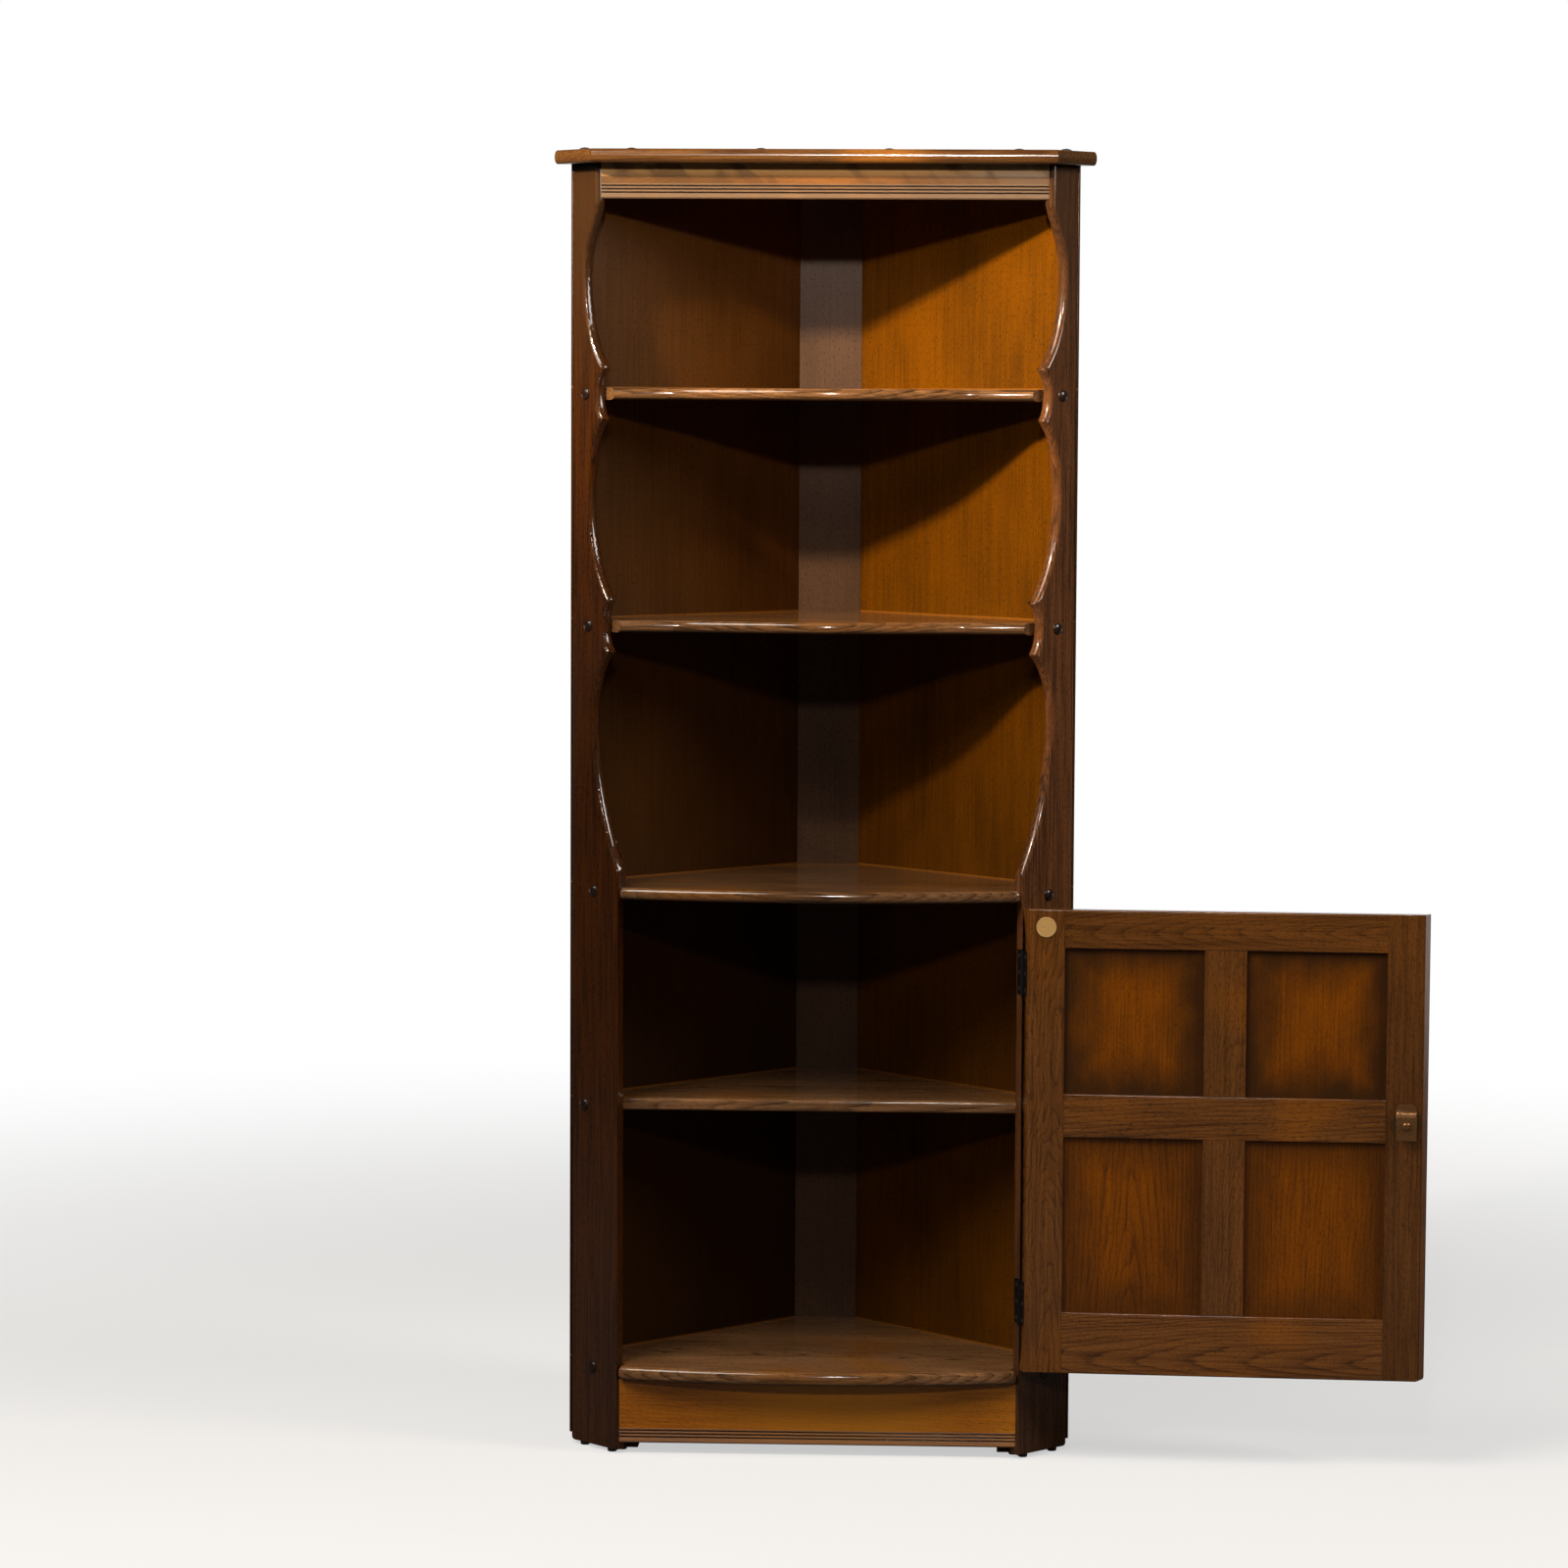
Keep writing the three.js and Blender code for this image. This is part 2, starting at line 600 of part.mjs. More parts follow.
// A rail across the front with a bead and grooves along its lower edge.
function mouldedRail(foot, head, front, endPlane) {
  const back = front + BOARD_THICKNESS;
  const profile = [[back, foot], [back, head], [front, head]];
  for (let groove = GROOVE_COUNT - 1; groove >= 0; groove -= 1) {
    const middle = foot + GROOVE_FIRST + groove * GROOVE_PITCH;
    profile.push([front, middle + GROOVE_WIDTH / 2]);
    profile.push([front + GROOVE_DEPTH, middle]);
    profile.push([front, middle - GROOVE_WIDTH / 2]);
  }
  profile.push([front, foot + BEAD_DEPTH]);
  profile.push([front + BEAD_DEPTH, foot]);
  const reach = endPlane - front;
  const options = { depth: reach + reach, bevelEnabled: false };
  const bar = new THREE.ExtrudeGeometry(outline(profile), options);
  bar.rotateX(QUARTER_TURN).rotateZ(QUARTER_TURN).translate(-reach, 0, 0);
  const ends = closeHalf([
    [endPlane - back - OVERRUN, back + OVERRUN],
    [endPlane - front + OVERRUN, front - OVERRUN],
  ]);
  const span = prism(ends, foot - OVERRUN, head - foot + OVERRUN + OVERRUN);
  return geometryOf(solid(bar).intersect(solid(span)));
}

function cornerBlock(hand) {
  const near = PLINTH_SETBACK + BOARD_THICKNESS + JOINT_GAP;
  const far = near + BLOCK_DEPTH;
  const plan = [
    [hand * blockInner, near],
    [hand * (sideInner + near - JOINT_GAP), near],
    [hand * (sideInner + far - JOINT_GAP), far],
    [hand * blockInner, far],
  ];
  return prism(hand > 0 ? plan : plan.reverse(), GLIDE_HEIGHT, BLOCK_HEIGHT);
}

function backPost() {
  const halfBack = POST_HALF_WIDTH - BOARD_THICKNESS;
  const plan = closeHalf([[halfBack, postBack], [POST_HALF_WIDTH, postFront]]);
  return prism(plan, GLIDE_HEIGHT, caseTop - GLIDE_HEIGHT);
}

function carcase() {
  const group = new THREE.Group();
  group.add(side('left', -1));
  group.add(side('right', 1));
  group.add(node('back_post', backPost(), 'postWood'));
  group.add(node('top_board', topBoard(), 'railWood'));

  const friezeFront = sideRun - STRIP_WIDTH / DIAGONAL + FRIEZE_SETBACK;
  group.add(node('frieze_rail', mouldedRail(caseTop - FRIEZE_HEIGHT, caseTop,
    friezeFront, stripFrontPlane - JOINT_GAP), 'railWood'));
  const plinthHead = BOTTOM_SHELF.top - BOTTOM_SHELF.thickness;
  group.add(node('plinth_rail', mouldedRail(PLINTH_FOOT, plinthHead, PLINTH_SETBACK,
    sideOuter - JOINT_GAP), 'railWood'));

  group.add(node('upper_shelf', openShelf(UPPER_SHELF), 'shelfWood'));
  group.add(node('lower_shelf', openShelf(LOWER_SHELF), 'shelfWood'));
  group.add(node('waist_shelf', nosedShelf(WAIST_SHELF), 'shelfWood'));
  group.add(node('cupboard_shelf', straightShelf(CUPBOARD_SHELF), 'shelfWood'));
  group.add(node('bottom_shelf', nosedShelf(BOTTOM_SHELF), 'shelfWood'));

  for (const [name, hand] of [['left', -1], ['right', 1]]) {
    group.add(node(`${name}_corner_block`, cornerBlock(hand), 'postWood'));
    const foot = node(`${name}_block_glide`, glide(), 'glide');
    foot.position.set(hand * (blockInner + BLOCK_GLIDE_INSET),
      PLINTH_SETBACK + BOARD_THICKNESS + BLOCK_DEPTH / 2, 0);
    group.add(foot);
  }
  const postFoot = node('post_glide', glide(), 'glide');
  postFoot.position.set(0, footY, 0);
  group.add(postFoot);
  return group;
}

// Door.

function panelPlaces() {
  const rows = [
    ['lower', doorFoot + DOOR_BOTTOM_RAIL, middleRailFoot],
    ['upper', middleRailHead, doorHead - DOOR_TOP_RAIL],
  ];
  const columns = [
    ['lock_side', -stileInner, -MUNTIN_HALF_WIDTH],
    ['hinge_side', MUNTIN_HALF_WIDTH, stileInner],
  ];
  return rows.flatMap(([row, foot, head]) => columns.map(([column, left, right]) => (
    { name: `door_panel_${row}_${column}`, left, right, foot, head }
  )));
}

// A door panel with its tongues, grown on every side by the given clearance.
function panelBox(place, grow) {
  const { thickness, recess, tongue } = DOOR_PANEL;
  const near = DOOR_THICKNESS - recess - thickness;
  const reach = tongue + grow;
  return box(
    [place.left - reach, near - grow, place.foot - reach],
    [place.right + reach, near + thickness + grow, place.head + reach],
  );
}

function grooved(geometry, places) {
  let body = solid(geometry);
  for (const place of places) {
    body = body.subtract(solid(panelBox(place, DOOR_PANEL.clearance)));
  }
  return body;
}

// Door stile on the hinge side for hand 1, on the lock side for hand -1.
function doorStile(hand, places) {
  const plan = [
    [hand * stileInner, 0],
    [hand * doorHalfWidth, 0],
    [hand * doorInnerHalfWidth, DOOR_THICKNESS],
    [hand * stileInner, DOOR_THICKNESS],
  ];
  const blank = prism(hand > 0 ? plan : plan.reverse(), doorFoot, doorHead - doorFoot);
  let body = grooved(blank, places);
  if (hand > 0) {
    for (const place of hingePlaces) {
      body = body.subtract(solid(leafCutter(place.foot)));
    }
    return geometryOf(body);
  }
  const bore = new THREE.CylinderGeometry(SPINDLE.radius + SPINDLE.clearance,
    SPINDLE.radius + SPINDLE.clearance, DOOR_THICKNESS * 2, ROUND_SEGMENTS);
  bore.translate(-latchX, DOOR_THICKNESS / 2, latchHeight);
  return geometryOf(body.subtract(solid(bore)));
}

// A point beside the hinge-side opening edge, as X and Y: along the edge from the side board's outer
// arris to the back, and out from the side board towards the door.
function atEdge(along, out) {
  return [
    FRONT_HALF_WIDTH - along * Math.sin(edgeAngle) - out * Math.cos(edgeAngle),
    along * Math.cos(edgeAngle) - out * Math.sin(edgeAngle),
  ];
}

function edgePrism(nearAlong, farAlong, nearOut, farOut, foot, height) {
  const plan = [
    atEdge(nearAlong, nearOut),
    atEdge(nearAlong, farOut),
    atEdge(farAlong, farOut),
    atEdge(farAlong, nearOut),
  ];
  return prism(plan.reverse(), foot, height);
}

function leafCutter(foot) {
  return edgePrism(-OVERRUN, LEAF.width + JOINT_GAP, DOOR_SIDE_GAP - OVERRUN,
    DOOR_SIDE_GAP + LEAF.thickness + JOINT_GAP, foot - JOINT_GAP, LEAF.height + JOINT_GAP + JOINT_GAP);
}

function cylinderAtPin(radius, foot, height) {
  const barrel = new THREE.CylinderGeometry(radius, radius, height, ROUND_SEGMENTS);
  return barrel.rotateX(QUARTER_TURN).translate(pinX, -PIN_FORWARD, foot + height / 2);
}

// One hinge leaf: its plate, and every second knuckle of the barrel.
function hingeLeaf(foot, onDoor) {
  const near = onDoor ? DOOR_SIDE_GAP : -LEAF.thickness;
  const far = near + LEAF.thickness;
  let leaf = solid(edgePrism(LEAF.setback, LEAF.width, near, far, foot, LEAF.height));
  const pitch = LEAF.height / KNUCKLES;
  const reach = PIN_FORWARD * Math.cos(edgeAngle);
  for (let knuckle = onDoor ? 1 : 0; knuckle < KNUCKLES; knuckle += 2) {
    const start = foot + knuckle * pitch + (knuckle > 0 ? KNUCKLE_GAP / 2 : 0);
    const end = foot + (knuckle + 1) * pitch - (knuckle < KNUCKLES - 1 ? KNUCKLE_GAP / 2 : 0);
    leaf = leaf.add(solid(cylinderAtPin(BARREL_RADIUS, start, end - start)));
    leaf = leaf.add(solid(edgePrism(-reach, LEAF.width / 2, near, far, start, end - start)));
  }
  const bore = cylinderAtPin(PIN_RADIUS + PIN_CLEARANCE, foot - OVERRUN, LEAF.height + OVERRUN + OVERRUN);
  return geometryOf(leaf.subtract(solid(bore)));
}

function hingePin(foot) {
  const cap = (at) => solid(cylinderAtPin(PIN_CAP.radius, at, PIN_CAP.height));
  const shank = solid(cylinderAtPin(PIN_RADIUS, foot - JOINT_GAP - PIN_CAP.height / 2,
    LEAF.height + JOINT_GAP + JOINT_GAP + PIN_CAP.height));
  const lower = cap(foot - JOINT_GAP - PIN_CAP.height);
  return geometryOf(shank.add(lower).add(cap(foot + LEAF.height + JOINT_GAP)));
}

function rail(left, right, foot, head, places) {
  return geometryOf(grooved(box([left, 0, foot], [right, DOOR_THICKNESS, head]), places));
}

function doorFrame() {
  const places = panelPlaces();
  const group = new THREE.Group();
  const inner = stileInner;
  const add = (name, geometry) => group.add(node(name, geometry, 'doorWood'));
  add('door_hinge_stile', doorStile(1, places));
  add('door_lock_stile', doorStile(-1, places));
  add('door_top_rail', rail(-inner, inner, doorHead - DOOR_TOP_RAIL, doorHead, places));
  add('door_middle_rail', rail(-inner, inner, middleRailFoot, middleRailHead, places));
  add('door_bottom_rail', rail(-inner, inner, doorFoot, doorFoot + DOOR_BOTTOM_RAIL, places));
  add('door_upper_muntin', rail(-MUNTIN_HALF_WIDTH, MUNTIN_HALF_WIDTH, middleRailHead,
    doorHead - DOOR_TOP_RAIL, places));
  add('door_lower_muntin', rail(-MUNTIN_HALF_WIDTH, MUNTIN_HALF_WIDTH, doorFoot + DOOR_BOTTOM_RAIL,
    middleRailFoot, places));
  for (const place of places) {
    group.add(node(place.name, panelBox(place, 0), 'panelWood'));
  }
  return group;
}

// Latch parts, on the spindle's axis: Y = 0 is the door's outer face.

function disc(innerRadius, outerRadius, near, far, rim) {
  const profile = [
    [innerRadius, near],
    [outerRadius - rim, near],
    [outerRadius, near + rim],
    [outerRadius, far],
    [innerRadius, far],
    [innerRadius, near],
  ];
  return turned(profile, ROUND_SEGMENTS);
}

function spindle() {
  const bossNear = -ROSE.thickness - SPINDLE.clearance - RING_BOSS.length;
  const plateNear = DOOR_THICKNESS + TONGUE_STANDOFF;
  const round = RING_BOSS.radius - SPINDLE.radius;
  const profile = [
    [0, bossNear],
    [SPINDLE.radius, bossNear],
    [RING_BOSS.radius, bossNear + round],
    [RING_BOSS.radius, -ROSE.thickness - SPINDLE.clearance],
    [SPINDLE.radius, -ROSE.thickness - SPINDLE.clearance],
    [SPINDLE.radius, DOOR_THICKNESS + WASHER.thickness + SPINDLE.clearance],
    [SPINDLE.collar, DOOR_THICKNESS + WASHER.thickness + SPINDLE.clearance],
    [SPINDLE.collar, plateNear - JOINT_GAP],
    [SPINDLE.tip, plateNear - JOINT_GAP],
    [SPINDLE.tip, plateNear + TONGUE.thickness],
    [0, plateNear + TONGUE.thickness],
  ];
  const eye = new THREE.CylinderGeometry(RING_BOSS.eye, RING_BOSS.eye, RING_BOSS.radius * 4,
    SMALL_ROUND_SEGMENTS);
  eye.rotateZ(QUARTER_TURN).translate(0, ringY(), 0);
  return geometryOf(solid(turned(profile, ROUND_SEGMENTS)).subtract(solid(eye)));
}

function ringY() {
  return -ROSE.thickness - SPINDLE.clearance - RING_BOSS.length / 2;
}

// The tongue is a cranked plate: flat at the spindle, then folded towards the door.
function tonguePlate() {
  const near = DOOR_THICKNESS + TONGUE_STANDOFF;
  const far = near + TONGUE.thickness;
  const profile = [
    [near, -TONGUE.tail],
    [far, -TONGUE.tail],
    [far, TONGUE.fold],
    [far - TONGUE_CRANK, TONGUE.heel],
    [far - TONGUE_CRANK, TONGUE.tip],
    [near - TONGUE_CRANK, TONGUE.tip],
    [near - TONGUE_CRANK, TONGUE.heel],
    [near, TONGUE.fold],
  ];
  const bar = new THREE.ExtrudeGeometry(outline(profile), { depth: TONGUE.width, bevelEnabled: false });
  bar.rotateX(QUARTER_TURN).rotateZ(QUARTER_TURN).translate(-TONGUE.width / 2, 0, 0);
  const half = TONGUE.width / 2;
  const shoulder = TONGUE.tip - TONGUE_CORNER;
  const face = new THREE.Shape();
  face.moveTo(-half, -TONGUE.tail - OVERRUN);
  face.lineTo(half, -TONGUE.tail - OVERRUN);
  face.lineTo(half, shoulder);
  face.quadraticCurveTo(half, TONGUE.tip, half - TONGUE_CORNER, TONGUE.tip);
  face.lineTo(TONGUE_CORNER - half, TONGUE.tip);
  face.quadraticCurveTo(-half, TONGUE.tip, -half, shoulder);
  const blank = new THREE.ExtrudeGeometry(face, {
    depth: DOOR_THICKNESS * 2, bevelEnabled: false, curveSegments: CORNER_SEGMENTS,
  });
  blank.rotateX(QUARTER_TURN).translate(0, far + OVERRUN, 0);
  const hole = new THREE.CylinderGeometry(SPINDLE.tip + SPINDLE.clearance,
    SPINDLE.tip + SPINDLE.clearance, DOOR_THICKNESS * 2, ROUND_SEGMENTS);
  hole.translate(0, near, 0);
  return geometryOf(solid(bar).intersect(solid(blank)).subtract(solid(hole)));
}

function latch() {
  const group = new THREE.Group();
  group.position.set(-latchX, 0, latchHeight);
  const bore = SPINDLE.radius + SPINDLE.clearance;
  group.add(node('handle_rose', disc(bore, ROSE.radius, -ROSE.thickness, 0, ROSE.rim), 'brass'));
  const washer = disc(bore, WASHER.radius, DOOR_THICKNESS, DOOR_THICKNESS + WASHER.thickness, 0);
  group.add(node('latch_washer', washer, 'brass'));
  group.add(node('latch_spindle', spindle(), 'brass'));
  group.add(node('latch_tongue', tonguePlate(), 'steel'));
  const nut = turned(domeProfile(NUT.radius, NUT.height), ROUND_SEGMENTS);
  nut.translate(0, DOOR_THICKNESS + TONGUE_STANDOFF + TONGUE.thickness + JOINT_GAP, 0);
  group.add(node('latch_nut', nut, 'steel'));
  const ring = new THREE.TorusGeometry(DROP_RING.radius, DROP_RING.wire, DROP_RING.sides, ROUND_SEGMENTS);
  ring.rotateX(QUARTER_TURN).translate(0, ringY(), -DROP_RING.radius);
  group.add(node('drop_ring', ring, 'brass'));
  return group;
}

// The door group turns about the hinge pins; its contents are drawn in the closed place.
function door() {
  const leafEdge = new THREE.Group();
  leafEdge.position.set(pinX, -PIN_FORWARD, 0);
  leafEdge.rotation.z = DOOR_OPEN_ANGLE;
  const closed = new THREE.Group();
  closed.position.set(-pinX, PIN_FORWARD, 0);
  leafEdge.add(closed);
  closed.add(doorFrame());
  closed.add(latch());
  const badge = new THREE.CylinderGeometry(BADGE.radius, BADGE.radius, BADGE.thickness, ROUND_SEGMENTS);
  badge.translate(FRONT_HALF_WIDTH - BADGE.inset, DOOR_THICKNESS + BADGE.thickness / 2,
    doorHead - BADGE.drop);
  closed.add(node('door_badge', badge, 'brass'));
  for (const place of hingePlaces) {
    closed.add(node(`${place.name}_door_leaf`, hingeLeaf(place.foot, true), 'steel'));
  }
  return leafEdge;
}

const cupboard = new THREE.Group();
cupboard.add(carcase());
for (const place of hingePlaces) {
  cupboard.add(node(`${place.name}_frame_leaf`, hingeLeaf(place.foot, false), 'steel'));
  cupboard.add(node(`${place.name}_pin`, hingePin(place.foot), 'steel'));
}
cupboard.add(door());
cupboard.position.set(0, -footY, 0);

const part = new THREE.Group();
part.add(cupboard);

export default part;
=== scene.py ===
"""Corner cupboard: the dressed model on its frame.

Metres, +X to the right, +Y to the back, +Z up, as in the frame. Door pieces are worked out in the
closed door's own place and then swung open with it.
"""

import json
import math
from types import SimpleNamespace

import bpy
from mathutils import Matrix, Vector

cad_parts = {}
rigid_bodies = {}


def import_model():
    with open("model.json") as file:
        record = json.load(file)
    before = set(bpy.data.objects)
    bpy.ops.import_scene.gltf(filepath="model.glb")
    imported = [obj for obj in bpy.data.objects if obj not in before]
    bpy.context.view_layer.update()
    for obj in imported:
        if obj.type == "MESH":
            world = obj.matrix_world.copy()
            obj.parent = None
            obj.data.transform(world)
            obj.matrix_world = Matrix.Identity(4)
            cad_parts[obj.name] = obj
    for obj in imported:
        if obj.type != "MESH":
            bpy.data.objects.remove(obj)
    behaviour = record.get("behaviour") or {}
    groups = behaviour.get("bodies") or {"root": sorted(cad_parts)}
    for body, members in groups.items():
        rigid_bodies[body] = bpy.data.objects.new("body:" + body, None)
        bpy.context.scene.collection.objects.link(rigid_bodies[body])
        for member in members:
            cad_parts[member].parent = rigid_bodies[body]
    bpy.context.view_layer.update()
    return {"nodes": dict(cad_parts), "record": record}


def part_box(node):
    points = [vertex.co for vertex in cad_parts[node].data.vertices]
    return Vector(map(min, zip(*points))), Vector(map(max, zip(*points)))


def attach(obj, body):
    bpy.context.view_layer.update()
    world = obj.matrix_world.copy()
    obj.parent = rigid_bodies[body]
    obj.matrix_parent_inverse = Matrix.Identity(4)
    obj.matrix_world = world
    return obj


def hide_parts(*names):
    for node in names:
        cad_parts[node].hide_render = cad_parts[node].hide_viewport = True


bl_info = {
    "name": "Corner cupboard",
    "version": (1, 0, 0),
    "blender": (4, 5, 0),
    "location": "3D View > Sidebar > Cupboard",
    "description": "Dresses a corner cupboard: arrises, pegs, hinges, latch and wood finishes",
    "category": "Object",
}

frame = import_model()
NODES = frame["nodes"]
BODY_OF = {
    node: body for body, nodes in frame["record"]["behaviour"]["bodies"].items() for node in nodes
}

# The plan's front line stands this far in front of the origin.
FRONT = -0.397743
HALF_WIDTH = 0.2924
DOOR_ANGLE = math.radians(176.7)
DOOR_THICKNESS = 0.018
# The hinge pins stand this far beside and in front of the right end of the front line.
PIN_PLACE = (HALF_WIDTH - 0.0001, -0.0039, 0)
# Half the widths of the door between its stiles, and of a muntin.
OPENING_HALF = 0.23
MUNTIN_HALF = 0.03
# How far a side board's edge slants beside the door, over the board's thickness.
EDGE_SLANT = (0.006, 0.018)
# Where the hinge screws stand: from the front line, between the two leaves, and up a leaf.
SCREW_REACH, LEAF_GAP, SCREW_SHARES = 0.0088, 0.0012, (0.125, 0.5, 0.875)
# The latch's axis in the closed door, and how far its washer and tongue stand out.
LATCH_X, LATCH_Z = -0.259, 0.50529
LATCH_STACK = 0.0115 + 0.0018 + 0.0003
# The nut: half its width over the corners, its height, and its dome's radius.
NUT_REACH, NUT_HEIGHT, DOME_RADIUS = 0.0069, 0.002, 0.0052
# The drop ring, to the middle of its wire, and the badge.
RING_RADIUS = 0.016
BADGE_RADIUS, BADGE_THICKNESS = 0.0145, 0.0012
# The top board's upper face; the pegs on it are turned separately.
TOP_LEVEL = 1.88996
# Where the top board's pegs stand: shares of half the width, how far behind the front, how high.
TOP_PEGS = (0.31464, 0.95075, 1.17989)
TOP_PEG_INSET, TOP_PEG_FOOT = 0.045, 1.8897
# How deep the side boards' scallops reach from their front edge.
SCALLOP_REACH = 0.084
# How high the three grooves lie above a rail's foot.
GROOVES = (0.009, 0.0138, 0.0186)
# The camera's place, its yaw, pitch and roll in degrees, and its lens in millimetres.
CAMERA_PLACE = (0.2051, -7.1296, 1.5220)
CAMERA_TURN = (2.192, 4.581, 0.294)
LENS, SENSOR = 107.76, 36.0
DIAGONAL = math.sqrt(0.5)
# How boards lie: the direction across each one's face, and its grain.
UPRIGHT = ((1, 0, 0), (0, 0, 1))
RAIL = ((0, 0, 1), (1, 0, 0))
FLAT = ((0, 1, 0), (1, 0, 0))
HANDS = ((-1, "left"), (1, "right"))
HEIGHTS = ("lower", "upper")
SHELVES = ("upper_shelf", "lower_shelf", "waist_shelf", "cupboard_shelf", "bottom_shelf")
# The lines in the plan where the shelves' boards are glued together.
BOARD_JOINTS = (-0.2, -0.315)
# Points nearer than this are one, and so are faces that meet flatter than this.
SAME_POINT = 0.000005
SAME_PLANE = math.radians(0.6)
# How far an edge may lie off its line and still be taken for it.
HAIR = 0.0004


def swung():
    """From the closed door's place, with the front line at Y = 0, to where the door stands open."""
    pin = Vector(PIN_PLACE)
    turn = Matrix.Translation(pin) @ Matrix.Rotation(DOOR_ANGLE, 4, "Z") @ Matrix.Translation(-pin)
    return Matrix.Translation((0, FRONT, 0)) @ turn


OPEN_DOOR = swung()
CLOSED_DOOR = OPEN_DOOR.inverted()
INSIDE_OF_DOOR = OPEN_DOOR.to_3x3() @ Vector((0, 1, 0))


def srgb(text):
    """Linear colour of a six-digit code."""
    parts = [int(text[i : i + 2], 16) / 255 for i in (0, 2, 4)]
    return tuple(v / 12.92 if v <= 0.04045 else ((v + 0.055) / 1.055) ** 2.4 for v in parts)


def colour(name, description, code):
    return bpy.props.FloatVectorProperty(
        name=name, description=description, default=srgb(code), subtype="COLOR", size=3,
        min=0, max=1,
    )


SHADES = {
    # The graded stain is duller and darker towards a side board's top, and the right board's foot.
    "dark": "Dark grain", "light": "Light grain", "amber": "Amber patches", "graded": "Aged stain",
    # The paler head is painted light against a shadow; the greyed ends are a painted reflection.
    "pale": "Paler head", "grey": "Greyed ends", "shade": "Stained edges",
}


def stain(part, shade, code):
    return colour(f"{part} {shade}".capitalize(), f"{SHADES[shade]} of the {part}", code)


def length(name, description, default):
    return bpy.props.FloatProperty(
        name=name, description=description, default=default, unit="LENGTH", min=0
    )


def amount(name, description, default, top=1.0):
    return bpy.props.FloatProperty(
        name=name, description=description, default=default, min=0, max=top
    )


class CupboardSizes(bpy.types.PropertyGroup):
    side_arris: length("Side arris", "Rounding along the side boards' edges", 0.0024)
    scallop_arris: length("Scallop arris", "Rounding along the side boards' scallops", 0.0068)
    board_arris: length("Board arris", "Rounding along shelf backs, posts and rails", 0.0009)
    door_arris: length("Door arris", "Rounding round the door", 0.0022)
    opening_arris: length("Opening arris", "Rounding round the door's panels", 0.0012)
    door_corner: length("Door corner", "Rounding of the door's free lower corner", 0.005)
    metal_arris: length("Metal arris", "Rounding of the steel and brass edges", 0.0003)
    peg_radius: length("Peg radius", "Radius of a wooden peg", 0.00875)
    peg_height: length("Peg height", "How far a wooden peg stands out", 0.004)
    screw_radius: length("Screw radius", "Radius of a hinge screw's head", 0.0027)
    ring_wire: length("Ring wire", "Half the thickness of the drop ring", 0.0022)


class CupboardFinish(bpy.types.PropertyGroup):
    left_dark: stain("left side", "dark", "1d0d05")
    left_light: stain("left side", "light", "411f06")
    right_dark: stain("right side", "dark", "2e1b0f")
    right_light: stain("right side", "light", "6a4023")
    # Duller, darker stain towards the side boards' tops, and the right board's foot.
    left_graded: stain("left side", "graded", "2a1d11")
    right_graded: stain("right side", "graded", "22160e")
    top_dark: stain("top board", "dark", "2a160b")
    top_light: stain("top board", "light", "513418")
    top_amber: stain("top board", "amber", "7c4c1a")
    frieze_dark: stain("frieze rail", "dark", "482f1a")
    frieze_light: stain("frieze rail", "light", "8a5f35")
    frieze_amber: stain("frieze rail", "amber", "b56c1d")
    # Painted light for the frieze's head, against the top board's shadow; then a painted reflection
    # and highlight colour for its ends and the rails' beads.
    frieze_painted_light: stain("frieze rail", "pale", "b58449")
    frieze_painted_sheen: stain("frieze rail", "grey", "8a7c70")
    plinth_dark: stain("plinth rail", "dark", "703d0e")
    plinth_light: stain("plinth rail", "light", "b4670f")
    plinth_amber: stain("plinth rail", "amber", "d4851c")
    shelf_dark: stain("shelves", "dark", "34200f")
    shelf_light: stain("shelves", "light", "885f3d")
    shelf_amber: stain("shelves", "amber", "91571c")
    panel_dark: stain("back panels", "dark", "2b1703")
    # The right back panel's light stain is lighter than the left's: partly its own warmer tone,
    # partly painted light in place of some of the left spot's light.
    left_panel: stain("left back panel", "light", "4c2b0c")
    right_panel: stain("right back panel", "light", "603500")
    groove: colour("Groove", "Stain in the rails' grooves", "160c06")
    # Colour of the back panels' stained edges, and of the painted shade towards their foot.
    panel_shade: stain("back panels", "shade", "1f1004")
    door_dark: stain("door frame", "dark", "2c170a")
    door_light: stain("door frame", "light", "6d4119")
    door_amber: stain("door frame", "amber", "7c4610")
    inset_dark: stain("door panels", "dark", "4f290d")
    inset_light: stain("door panels", "light", "884704")
    inset_shade: stain("door panels", "shade", "35200e")
    post_dark: stain("back post", "dark", "281b14")
    post_light: stain("back post", "light", "4c3628")
    peg: colour("Peg", "Wooden pegs", "1c0e07")
    hinge: colour("Hinge", "Hinge steel", "2e2824")
    screw: colour("Screw", "Hinge screws", "6b625a")
    catch: colour("Catch", "Latch tongue and nut", "8a5f38")
    brass: colour("Brass", "Washer, rose and drop ring", "5a4020")
    badge: colour("Badge", "Round badge", "cfa361")
    glide: colour("Glide", "Glides under the cupboard", "16120f")
    gloss: amount("Gloss", "Weight of the lacquer's second gloss", 0.9)


class CupboardStage(bpy.types.PropertyGroup):
    floor: colour("Floor", "Pale floor", "e6e3df")
    front_spot: amount("Front spot", "Watts of the spot above the camera", 800.0, 5000.0)
    front_fill: amount("Front fill", "Watts of the plain lamp above the camera", 58.0, 5000.0)
    left_spot: amount("Left spot", "Watts of the warm spot on the left", 1080.0, 5000.0)
    ceiling_box: amount("Ceiling box", "Watts of the soft box overhead in front", 98.0, 5000.0)
    left_box: amount("Left box", "Watts of the soft box on the left", 28.0, 5000.0)
    right_box: amount("Right box", "Watts of the soft box on the right", 72.0, 5000.0)
    sky: amount("Sky", "Strength of the even light all round", 0.02, 10.0)


